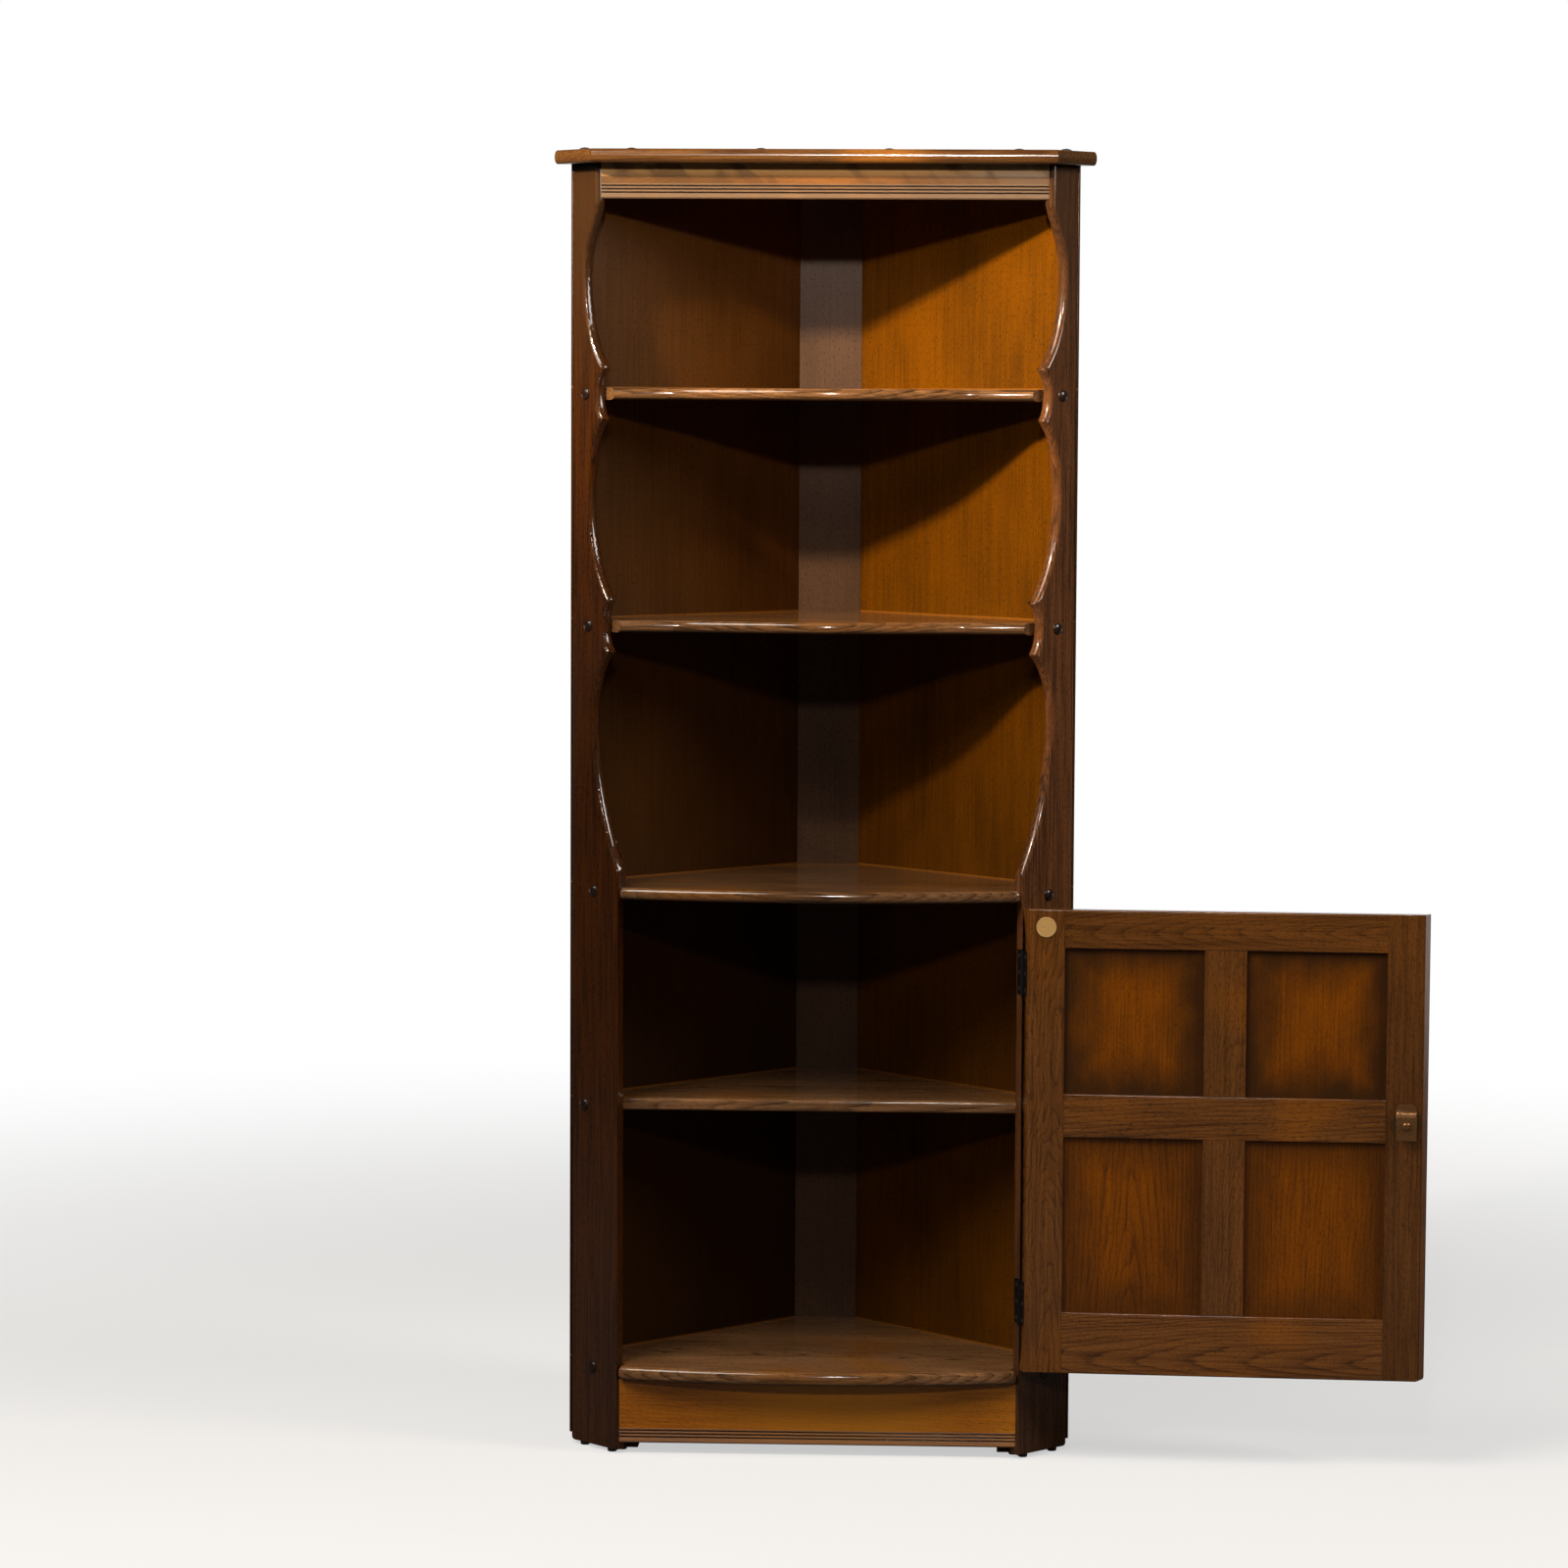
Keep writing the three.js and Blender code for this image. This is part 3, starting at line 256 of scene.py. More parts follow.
# Working on meshes.


def only(*objects):
    """Select these objects and nothing else; the last one is active."""
    if bpy.context.object and bpy.context.object.mode != "OBJECT":
        bpy.ops.object.mode_set(mode="OBJECT")
    bpy.ops.object.select_all(action="DESELECT")
    for thing in objects:
        thing.select_set(True)
    bpy.context.view_layer.objects.active = objects[-1]


def clear_selection(piece):
    for part in (piece.data.vertices, piece.data.edges, piece.data.polygons):
        for item in part:
            item.select = False


def in_edit(piece, operator, kind="VERT", **settings):
    """Run one edit-mode operator on what is selected in the piece's mesh."""
    only(piece)
    bpy.ops.object.mode_set(mode="EDIT")
    bpy.context.tool_settings.mesh_select_mode = [kind == k for k in ("VERT", "EDGE", "FACE")]
    operator(**settings)
    bpy.ops.object.mode_set(mode="OBJECT")


def whole(piece, operator, **settings):
    """Run one edit-mode operator on the whole mesh."""
    only(piece)
    bpy.ops.object.mode_set(mode="EDIT")
    bpy.ops.mesh.select_all(action="SELECT")
    operator(**settings)
    bpy.ops.object.mode_set(mode="OBJECT")


def take(piece, items, test):
    """Select the items for which the test holds."""
    clear_selection(piece)
    found = [item for item in items if test(item)]
    for item in found:
        item.select = True
    if not found:
        raise RuntimeError(f"{piece.name} has no such faces or edges")


def take_faces(piece, test):
    """Select the faces for which test(centre, normal) holds."""
    take(piece, piece.data.polygons, lambda face: test(face.center, face.normal))


def take_edges(piece, test, sharper=30):
    """Select the edges sharper than an angle for which test(start, end) holds."""
    mesh = piece.data
    normals = {}
    for face in mesh.polygons:
        for key in face.edge_keys:
            normals.setdefault(key, []).append(face.normal)
    limit = math.cos(math.radians(sharper))

    def wanted(edge):
        sides = normals.get(tuple(sorted(edge.vertices)), [])
        if len(sides) != 2 or sides[0].dot(sides[1]) > limit:
            return False
        return test(*(mesh.vertices[i].co for i in edge.vertices))

    take(piece, mesh.edges, wanted)


def round_edges(piece, radius, test=lambda start, end: True, segments=3, sharper=30):
    take_edges(piece, test, sharper)
    in_edit(
        piece, bpy.ops.mesh.bevel, "EDGE", offset=radius, segments=segments, profile=0.5,
        affect="EDGES", clamp_overlap=False,
    )


def step_in(piece, steps, inside=None):
    """Inset the middle or the highest face again and again, each time by (inward, outward)."""
    for inward, outward in steps:
        top = max(v.co.z for v in piece.data.vertices)
        chosen = inside or (lambda centre: centre.z > top - 1e-6)
        take_faces(piece, lambda centre, normal: normal.z > 0.99 and chosen(centre))
        in_edit(piece, bpy.ops.mesh.inset, "FACE", thickness=inward, depth=outward)


def modified(piece, kind, **settings):
    """Give the piece a modifier and apply it."""
    only(piece)
    modifier = piece.modifiers.new(kind.title(), kind)
    for key, value in settings.items():
        setattr(modifier, key, value)
    bpy.ops.object.modifier_apply(modifier=modifier.name)


def smooth(piece, angle=38):
    """Smooth shading where faces meet gently, with large faces kept flat."""
    only(piece)
    bpy.ops.object.shade_smooth_by_angle(angle=math.radians(angle))
    modified(piece, "WEIGHTED_NORMAL", keep_sharp=True, weight=80)


def named(piece, name):
    piece.name = name
    piece.data.name = name
    return piece


def fresh(add, name, scale=(1, 1, 1), **settings):
    """A new piece by its operator, with its place and scale in its mesh."""
    bpy.ops.object.select_all(action="DESELECT")
    add(**settings)
    piece = named(bpy.context.active_object, name)
    piece.scale = scale
    bpy.ops.object.transform_apply(location=True, rotation=True, scale=True)
    return piece


def merged(piece):
    """The piece with its doubled points and its flat neighbours made one."""
    whole(piece, bpy.ops.mesh.remove_doubles, threshold=SAME_POINT)
    whole(piece, bpy.ops.mesh.dissolve_limited, angle_limit=SAME_PLANE)
    return piece


def copy_of(node):
    """A merged copy of a frame node, free to be shaped."""
    only(NODES[node])
    bpy.ops.object.duplicate()
    piece = bpy.context.active_object
    bpy.ops.object.parent_clear(type="CLEAR_KEEP_TRANSFORM")
    for key in list(piece.keys()):
        if key.startswith("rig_"):
            del piece[key]
    return merged(named(piece, f"{node}_shaped"))


def settle(piece, material, slot, *nodes, body=None):
    """Finish a piece: its material, what it rides on and what it stands for."""
    piece.data.materials.clear()
    piece.data.materials.append(material)
    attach(piece, body or BODY_OF[nodes[0]])
    if nodes:
        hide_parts(*nodes)
    return piece


def placed(piece, matrix):
    """Put the piece where the matrix says, and its place in its mesh."""
    only(piece)
    piece.matrix_world = matrix
    bpy.ops.object.transform_apply(location=True, rotation=True, scale=True)
    return piece


def twin(master, name, matrix):
    """A copy of a master piece with its own mesh, at its place."""
    only(master)
    bpy.ops.object.duplicate(linked=False)
    return placed(named(bpy.context.active_object, name), matrix)


def facing(point, normal):
    """A matrix whose Z axis points along a level normal, at the point."""
    z = Vector(normal).normalized()
    x = Vector((0, 0, 1)).cross(z).normalized()
    y = z.cross(x)
    turn = Matrix((x, y, z)).transposed().to_4x4()
    return Matrix.Translation(point) @ turn


def drop(piece):
    only(piece)
    bpy.ops.object.delete()


# Materials.


def math_node(operation, swapped=False):
    """A method of a socket that adds one Math node."""

    def method(self, *others):
        values = (*others, self) if swapped else (self, *others)
        return self.shop.make(
            "ShaderNodeMath", {"operation": operation}, dict(enumerate(values))
        )

    return method


class Wire:
    """A socket that adds Math nodes when it stands in an expression."""

    def __init__(self, shop, socket):
        self.shop = shop
        self.socket = socket

    __add__ = math_node("ADD")
    __radd__ = math_node("ADD", swapped=True)
    __sub__ = math_node("SUBTRACT")
    __rsub__ = math_node("SUBTRACT", swapped=True)
    __mul__ = math_node("MULTIPLY")
    __rmul__ = math_node("MULTIPLY", swapped=True)
    least = math_node("MINIMUM")
    size = math_node("ABSOLUTE")
    part = math_node("FRACT")
    root = math_node("SQRT")

    def step(self, low, high):
        """A soft step from 0 at low to 1 at high."""
        return self.shop.make(
            "ShaderNodeMapRange",
            {"interpolation_type": "SMOOTHSTEP"},
            {"Value": self, "From Min": low, "From Max": high},
        )

    def line(self, near, far):
        """1 where the value is nearly 0, and 0 beyond far."""
        return 1 - self.size().step(near, far)


class Shop:
    """Builds one material, or the nodes of another tree."""

    def __init__(self, name=None, tree=None):
        if tree is None:
            self.material = bpy.data.materials.new(name)
            self.material.use_nodes = True
            tree = self.material.node_tree
        self.tree = tree
        self.tree.nodes.clear()

    def make(self, kind, settings=None, inputs=None, out=0):
        node = self.tree.nodes.new(kind)
        for key, value in (settings or {}).items():
            if key == "stops":
                ramp = node.color_ramp
                while len(ramp.elements) < len(value):
                    ramp.elements.new(0.5)
                for element, (place, shade) in zip(ramp.elements, value):
                    element.position = place
                    element.color = (shade, shade, shade, 1)
            else:
                setattr(node, key, value)
        for key, value in (inputs or {}).items():
            socket = node.inputs[key]
            if isinstance(value, Wire):
                self.tree.links.new(value.socket, socket)
            elif socket.type == "RGBA":
                socket.default_value = (*value[:3], 1)
            else:
                socket.default_value = value
        return Wire(self, node.outputs[out]) if node.outputs else None

    def axes(self, source=None):
        """The three parts of a vector: of the object's own place when none is given."""
        source = source or self.make("ShaderNodeTexCoord", out="Object")
        return [self.make("ShaderNodeSeparateXYZ", {}, {0: source}, out=axis) for axis in "XYZ"]

    def rays(self, *kinds):
        """For each kind of ray, 1 where a surface is met by one."""
        return [self.make("ShaderNodeLightPath", out=f"Is {kind} Ray") for kind in kinds]

    def noise(self, x, y, z, detail=2.0, rough=0.5):
        place = self.make("ShaderNodeCombineXYZ", {}, {"X": x, "Y": y, "Z": z})
        return self.make(
            "ShaderNodeTexNoise",
            {"noise_dimensions": "3D"},
            {"Vector": place, "Scale": 1.0, "Detail": detail, "Roughness": rough},
        )

    def mix(self, factor, first, second):
        return self.make(
            "ShaderNodeMix",
            {"data_type": "RGBA", "blend_type": "MIX", "clamp_factor": True},
            {0: factor, 6: first, 7: second},
            out=2,
        )

    def surface(self, inputs, bump=None, depth=0.0002, strength=1.0):
        if bump is not None:
            inputs["Normal"] = self.make(
                "ShaderNodeBump", {}, {"Strength": strength, "Distance": depth, "Height": bump}
            )
        shader = self.make("ShaderNodeBsdfPrincipled", {}, inputs)
        self.make("ShaderNodeOutputMaterial", {}, {"Surface": shader})
        return self.material


def board_place(node, across, grain, door=False):
    """The frame of a board: X across its face, Y into it, Z along its grain, origin in its middle.

    Returns the matrix from the row frame and the half extents.
    """
    back = CLOSED_DOOR if door else Matrix.Translation((0, -FRONT, 0))
    x = Vector(across).normalized()
    z = Vector(grain).normalized()
    y = z.cross(x)
    turn = Matrix((x, y, z)).to_4x4() @ back
    points = [turn @ v.co for v in NODES[node].data.vertices]
    low = Vector(min(p[i] for p in points) for i in range(3))
    high = Vector(max(p[i] for p in points) for i in range(3))
    middle = (low + high) / 2
    return Matrix.Translation(-middle) @ turn, (high - low) / 2


def shaded(tone, share):
    return tuple(v * share for v in tone)


# What a board's wood has when its operator says nothing else.
WOOD = {
    "seed": 0.0,
    "heart": (0.09, 0.03),  # the middle of the tree, across and into the board
    "lean": (0.02, 0.05),  # how far that middle leans along the board
    "rings": 190,  # per metre
    "figure": 0.5,  # how strong the rings show
    "wander": 0.02,  # how far they stray
    "swirl": 0.0015,  # how far they stray closely
    "streak": 0.6,
    "cloud": 0.9,
    "pores": 0.5,
    "patch": 0.5,  # how much amber
    "patches": 5.0,  # and its scale
    "rim": 0.05,  # how wide the stained edge is
    "rim_depth": 0.85,  # and how dark
    # the edge setting below is painted shade on the upright and downward faces
    "edge": 0.0,  # how dark the upright faces of a level board are
    "marks": None,  # what else the stain does
    "rough": 0.42,
    "gloss": None,
    "bare": 0.0,  # how far in from its outer edge the board has no lacquer
    "haze": 0.08,
    "sheen": 0.11,
    "relief": 0.5,
}
# How dark one year's ring is, from its inside out.
GROWTH = [(0.0, 0.1), (0.1, 1.0), (0.28, 0.45), (0.6, 0.12), (1.0, 0.05)]


def wood(name, place, dark, light, amber=None, shade=None, **given):
    """Stained wood under satin lacquer, with its grain along the board's own Z."""
    matrix, half = place
    cut = SimpleNamespace(**{**WOOD, **given})
    seed = cut.seed
    shop = Shop(name)
    seat = shop.make("ShaderNodeTexCoord", out="Object")
    x, y, z = shop.axes(shop.make(
        "ShaderNodeMapping",
        {"vector_type": "POINT"},
        {
            "Vector": seat, "Location": tuple(matrix.to_translation()),
            "Rotation": tuple(matrix.to_euler("XYZ")),
        },
    ))

    stray = shop.noise(x * 14 + seed, y * 14, z * 3.2 + seed, 3.0, 0.55) - 0.5
    curl = shop.noise(x * 60 + seed, y * 60, z * 22 - seed, 2.0)
    fibre = shop.noise(x * 290 + seed, y * 290, z * 8, 3.0, 0.65)
    fine = shop.noise(x * 820, y * 820 + seed, z * 170, 2.0, 0.6)
    dash = fine.step(0.54, 0.66)
    out = x + cut.heart[0] + z * cut.lean[0] + stray * cut.wander
    deep = y + cut.heart[1] + z * cut.lean[1] + stray * (cut.wander * 0.6)
    radius = (out * out + deep * deep).root() + (curl - 0.5) * cut.swirl + (fibre - 0.5) * 0.0005
    ring = (radius * cut.rings).part()
    line = shop.make("ShaderNodeValToRGB", {"stops": GROWTH}, {"Fac": ring})
    year = shop.noise(radius * 60, seed, seed, 2.0)
    cloud = shop.noise(x * 9 - seed, y * 9, z * 4.5 + seed, 2.0)

    dusk = line * cut.figure * (year * 0.9 + 0.45)
    dusk = dusk + (fibre.step(0.32, 0.68) - 0.4) * cut.streak + (cloud - 0.5) * cut.cloud + 0.16
    tone = shop.mix(dusk, light, dark)
    if amber is not None:
        scale = cut.patches
        glow = shop.noise(x * scale + seed * 3, y * scale, z * scale * 0.8 - seed, 1.0)
        low = 0.62 - cut.patch * 0.22
        tone = shop.mix(glow.step(low, low + 0.18) * (1 - dusk * 0.6) * 0.85, tone, amber)
    if shade is not None:
        ragged = shop.noise(x * 26, y * 26 + seed, z * 15, 3.0) - 0.5
        near = (half[0] - x.size()).least(half[2] - z.size()) + ragged * cut.rim * 0.75
        tone = shop.mix((1 - near.step(0.0, cut.rim)) * cut.rim_depth, tone, shade)
    tone = shop.mix(dash * cut.pores, tone, shaded(dark, 0.35))
    # Painted shade: the upright faces of a level board are darker, and its downward faces darker
    # still, as if shadowed.
    if cut.edge:
        level = shop.axes(shop.make("ShaderNodeTexCoord", out="Normal"))[2]
        tone = shop.mix(level.line(0.75, 0.98) * cut.edge, tone, dark)
        under = 1 - (level + 1.0).step(0.15, 0.85)
        tone = shop.mix(under * 0.9, tone, shaded(dark, 0.25))
    if cut.marks:
        tone = cut.marks(shop, tone, x, y, z)
    unevenness = shop.noise(x * 30 + seed, y * 30, z * 20, 2.0)
    gloss = bpy.context.scene.cupboard_finish.gloss if cut.gloss is None else cut.gloss
    if cut.bare:
        gloss = (x + half[0]).step(cut.bare, cut.bare * 2.5) * gloss
    return shop.surface(
        {
            "Base Color": tone, "Roughness": cut.rough + (unevenness - 0.5) * 0.12 + dash * 0.08,
            "Specular IOR Level": cut.haze, "Specular Tint": (1, 0.6, 0.28),
            "Coat Weight": gloss, "Coat Roughness": cut.sheen,
        },
        bump=(1 - dash) * 0.5 + (1 - line) * 0.35 + fibre * 0.25,
        depth=0.00018,
        strength=cut.relief,
    )


def metal(name, base, rough=0.35, tarnish=0.4, scale=160.0, metallic=0.9):
    """Worn metal with small dull patches and fine scratches."""
    shop = Shop(name)
    x, y, z = (axis * scale for axis in shop.axes())
    blot = shop.noise(x, y, z, 4.0, 0.6)
    scratch = shop.noise(x * 6, y * 6, z, 2.0, 0.7)
    dull = blot.step(0.42, 0.68)
    tone = shop.mix(dull * tarnish, base, shaded(base, 0.42))
    tone = shop.mix(scratch.step(0.6, 0.75) * 0.3, tone, tuple(min(1, v * 1.5) for v in base))
    return shop.surface(
        {
            "Base Color": tone, "Metallic": metallic,
            "Roughness": rough + dull * 0.2 + scratch * 0.06,
        },
        bump=scratch * 0.5 + blot, depth=0.00008, strength=0.4,
    )


def plastic(name, base):
    """Dark moulded plastic with dust in its grain."""
    shop = Shop(name)
    x, y, z = shop.axes()
    grit = shop.noise(x * 900, y * 900, z * 900, 3.0, 0.6)
    dust = shop.noise(x * 120, y * 120, z * 120, 3.0, 0.6)
    tone = shop.mix(dust.step(0.5, 0.75) * 0.5, base, tuple(v * 3 + 0.01 for v in base))
    return shop.surface(
        {"Base Color": tone, "Roughness": 0.55 + dust * 0.2}, bump=grit, depth=0.0001, strength=0.5
    )


def peg_wood(name, base):
    """End-grain look of a small polished peg."""
    shop = Shop(name)
    x, y, z = shop.axes()
    grain = shop.noise(x * 700, y * 700, z * 260, 3.0, 0.6)
    spot = shop.noise(x * 1600, y * 1600, z * 1600, 2.0)
    tone = shop.mix(grain.step(0.35, 0.7), shaded(base, 1.5), shaded(base, 0.6))
    return shop.surface(
        {
            "Base Color": tone, "Roughness": 0.4 + spot * 0.1, "Specular IOR Level": 0.1,
            "Coat Weight": 0.6, "Coat Roughness": 0.12,
        },
        bump=grain + spot * 0.4, depth=0.00012, strength=0.5,
    )


def stains(finish, kind, *shades):
    """The stains of one kind of board: dark, light and amber, or the shades that are named."""
    return [getattr(finish, f"{kind}_{shade}") for shade in shades or ("dark", "light", "amber")]


# Operators.


class CUPBOARD_OT_side_boards(bpy.types.Operator):
    """Round the arrises of both side boards and stain them"""

    bl_idname = "cupboard.side_boards"
    bl_label = "Side boards"

    def execute(self, context):
        sizes, finish = context.scene.cupboard_sizes, context.scene.cupboard_finish
        leaves = [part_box(f"{height}_hinge_frame_leaf") for height in HEIGHTS]
        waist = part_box("waist_shelf")[1].z
        for hand, side in HANDS:
            node = f"{side}_side_board"
            piece = copy_of(node)
            front = Vector((hand * HALF_WIDTH, FRONT, 0))
            along = Vector((hand * DIAGONAL, DIAGONAL, 0))
            normal = Vector((hand * DIAGONAL, -DIAGONAL, 0))

            def plain(start, end):
                """Leaves out the edges in and beside the hinge leaves."""
                return hand < 0 or not any(
                    low.z - 0.002 < p.z < high.z + 0.002 and p.y < high.y + 0.004
                    for low, high in leaves for p in (start, end)
                )

            def scalloped(start, end):
                """Both arrises of the scallops beside the open bays, without the cusps."""
                reach = max((p - front).dot(along) for p in (start, end))
                across = abs((end - start).dot(normal))
                return (
                    min(start.z, end.z) > waist - 0.01 and reach < SCALLOP_REACH
                    and across < (end - start).length * 0.5
                )

            round_edges(piece, sizes.scallop_arris, scalloped, segments=5)
            round_edges(piece, sizes.side_arris, plain, segments=3, sharper=40)
            smooth(piece)
            dark, light, graded = stains(finish, side, "dark", "light", "graded")

            def uneven(shop, tone, x, y, z):
                """A duller, darker stain towards the board's top, and on the right board towards
                its foot too.
                """
                drift = z + (shop.noise(x * 6, y * 6, z * 3) - 0.5) * 0.3
                unevenness = drift.step(0.45, 0.9) * 0.65
                if hand > 0:
                    unevenness = unevenness + (1 - drift.step(-0.75, -0.45)) * 0.4
                return shop.mix(unevenness, tone, graded)

            material = wood(
                node, board_place(node, (DIAGONAL, hand * DIAGONAL, 0), (0, 0, 1)), dark, light,
                seed=3.1 + hand, heart=(0.16 * hand, 0.035), lean=(0.006, 0.02), rings=230,
                wander=0.012, streak=0.8, pores=0.7, marks=uneven,
            )
            settle(piece, material, "side_wood", node)
        return {"FINISHED"}


class CUPBOARD_OT_top_and_rails(bpy.types.Operator):
    """Shape and stain the top board, the frieze rail and the plinth rail"""

    bl_idname = "cupboard.top_and_rails"
    bl_label = "Top board and rails"

    def execute(self, context):
        finish = context.scene.cupboard_finish
        top = copy_of("top_board")
        whole(
            top, bpy.ops.mesh.bisect, plane_co=(0, 0, TOP_LEVEL), plane_no=(0, 0, 1),
            clear_outer=True, use_fill=True, threshold=0.00001,
        )
        smooth(merged(top), 30)
        material = wood(
            "top_board", board_place("top_board", *FLAT), *stains(finish, "top"),
            seed=1.7, heart=(0.05, 0.06), lean=(0.03, 0.03), rings=220, figure=0.6, patch=0.45,
            sheen=0.14,
        )
        settle(top, material, "rail_wood", "top_board")
        keys = ("seed", "heart", "lean", "rings", "figure", "wander", "patch", "patches")
        cuts = {
            "frieze": (5.3, (0.035, -0.004), (0.02, 0.22), 320, 0.6, 0.012, 0.55, 5.0),
            "plinth": (8.9, (0.07, 0.05), (0.06, 0.05), 260, 0.4, 0.02, 0.6, 3.2),
        }
        for kind, values in cuts.items():
            node = f"{kind}_rail"
            rail = copy_of(node)
            low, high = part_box(node)
            place = board_place(node, *RAIL)
            foot = place[1][0]

            def stained(shop, tone, x, y, z):
                """Painted reflection at the ends, warm amber in the middle, painted shade low and
                painted light high on the flat, painted highlight on the beads, and dark grooves.
                """
                rise = x + foot
                bead = 1 - rise.step(0.021, 0.0225)
                if kind == "frieze":
                    drift = z + shop.noise(x * 40, y * 40, z * 6, 2.0) * 0.1
                    # Painted reflection: the rail turns greyer towards its ends, most at the right
                    # end, where a lamp's sheen falls.
                    unevenness = drift.step(0.17, 0.33) + (1 - drift.step(-0.3, -0.16)) * 0.5
                    warm = (drift - 0.06).line(0.04, 0.14)
                    # Painted shade: the flat's lower band, where the light falls strongest, is
                    # darkened, less so in the warm middle.
                    painted_shade_band = 1 - rise.step(0.0305, 0.0345)
                    # Painted light: the flat's head is paler, to lift it out of the top board's
                    # shadow, less so towards the ends.
                    head = rise.step(0.029, 0.041) * (0.85 - unevenness * 0.35)
                    blot = shop.noise(x * 24 + z * 26, y * 24, x * 14 - z * 7, 2.0)
                    tone = shop.mix(unevenness * 0.8, tone, finish.frieze_painted_sheen)
                    tone = shop.mix(warm * 0.4, tone, finish.frieze_amber)
                    tone = shop.mix(painted_shade_band * (0.8 - warm * 0.25), tone, finish.frieze_dark)
                    tone = shop.mix(head, tone, finish.frieze_painted_light)
                    tone = shop.mix(blot.step(0.47, 0.64) * 0.55, tone, finish.frieze_dark)
                    # Painted highlight: the beads are greyed where their edges catch the light,
                    # then darkened.
                    tone = shop.mix(bead * 0.4, tone, finish.frieze_painted_sheen)
                    tone = shop.mix(bead * 0.45, tone, finish.frieze_dark)
                else:
                    tone = shop.mix((z - 0.03).line(0.04, 0.24) * 0.6, tone, finish.plinth_amber)
                    # Painted highlight: the plinth's beads are greyed where their edges catch the
                    # light.
                    tone = shop.mix(bead * 0.4, tone, finish.frieze_painted_sheen)
                grooves = sum((rise - level).line(0.0007, 0.0015) for level in GROOVES)
                return shop.mix(grooves * 0.95, tone, finish.groove)

            def lengthwise(start, end):
                """The rail's long edges at its foot and in its moulding, in front."""
                long = abs(start.x - end.x) > 0.1
                return long and start.z < low.z + 0.025 and start.y < low.y + 0.003

            round_edges(rail, 0.0006, lengthwise, segments=2)
            smooth(rail, 30)
            material = wood(
                node, place, *stains(finish, kind), streak=0.4, marks=stained,
                **dict(zip(keys, values)),
            )
            settle(rail, material, "rail_wood", node)
        return {"FINISHED"}


class CUPBOARD_OT_shelves(bpy.types.Operator):
    """Shape and stain the five shelves"""

    bl_idname = "cupboard.shelves"
    bl_label = "Shelves"

    def execute(self, context):
        finish = context.scene.cupboard_finish
        # Seed, heart, how much amber, and how light the grain is, of each shelf.
        cuts = (
            (2.2, (0.1, 0.05), 0.3, 1.05), (6.1, (0.14, 0.03), 0.3, 0.85),
            (9.4, (0.03, 0.05), 0.45, 0.9), (12.8, (0.05, 0.02), 0.3, 1.35),
            (15.5, (0.08, 0.04), 0.5, 1.35),
        )
        for node, (seed, heart, patch, fade) in zip(SHELVES, cuts):
            shelf = copy_of(node)
            smooth(shelf, 30)
            low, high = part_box(node)
            near, far = (place - (low.y + high.y) / 2 for place in BOARD_JOINTS)

            def joined(shop, tone, x, y, z):
                """Three boards glued together: the middle one darker, fine dark lines between."""
                board = x.step(far - 0.0005, far + 0.0005)
                board = board * (1 - x.step(near - 0.0005, near + 0.0005))
                tone = shop.mix(board * 0.22, tone, finish.shelf_dark)
                lines = sum((x - place).line(0.0003, 0.0012) for place in (near, far))
                return shop.mix(lines * 0.6, tone, finish.groove)

            # The shelves' edge setting paints shade on their noses and undersides.
            material = wood(
                node, board_place(node, *FLAT), finish.shelf_dark,
                shaded(finish.shelf_light, fade), amber=finish.shelf_amber, seed=seed, heart=heart,
                lean=(0.05, 0.05), rings=230, figure=0.65, wander=0.03, patch=patch, sheen=0.1,
                edge=0.28, marks=joined,
            )
            settle(shelf, material, "shelf_wood", node)
        return {"FINISHED"}


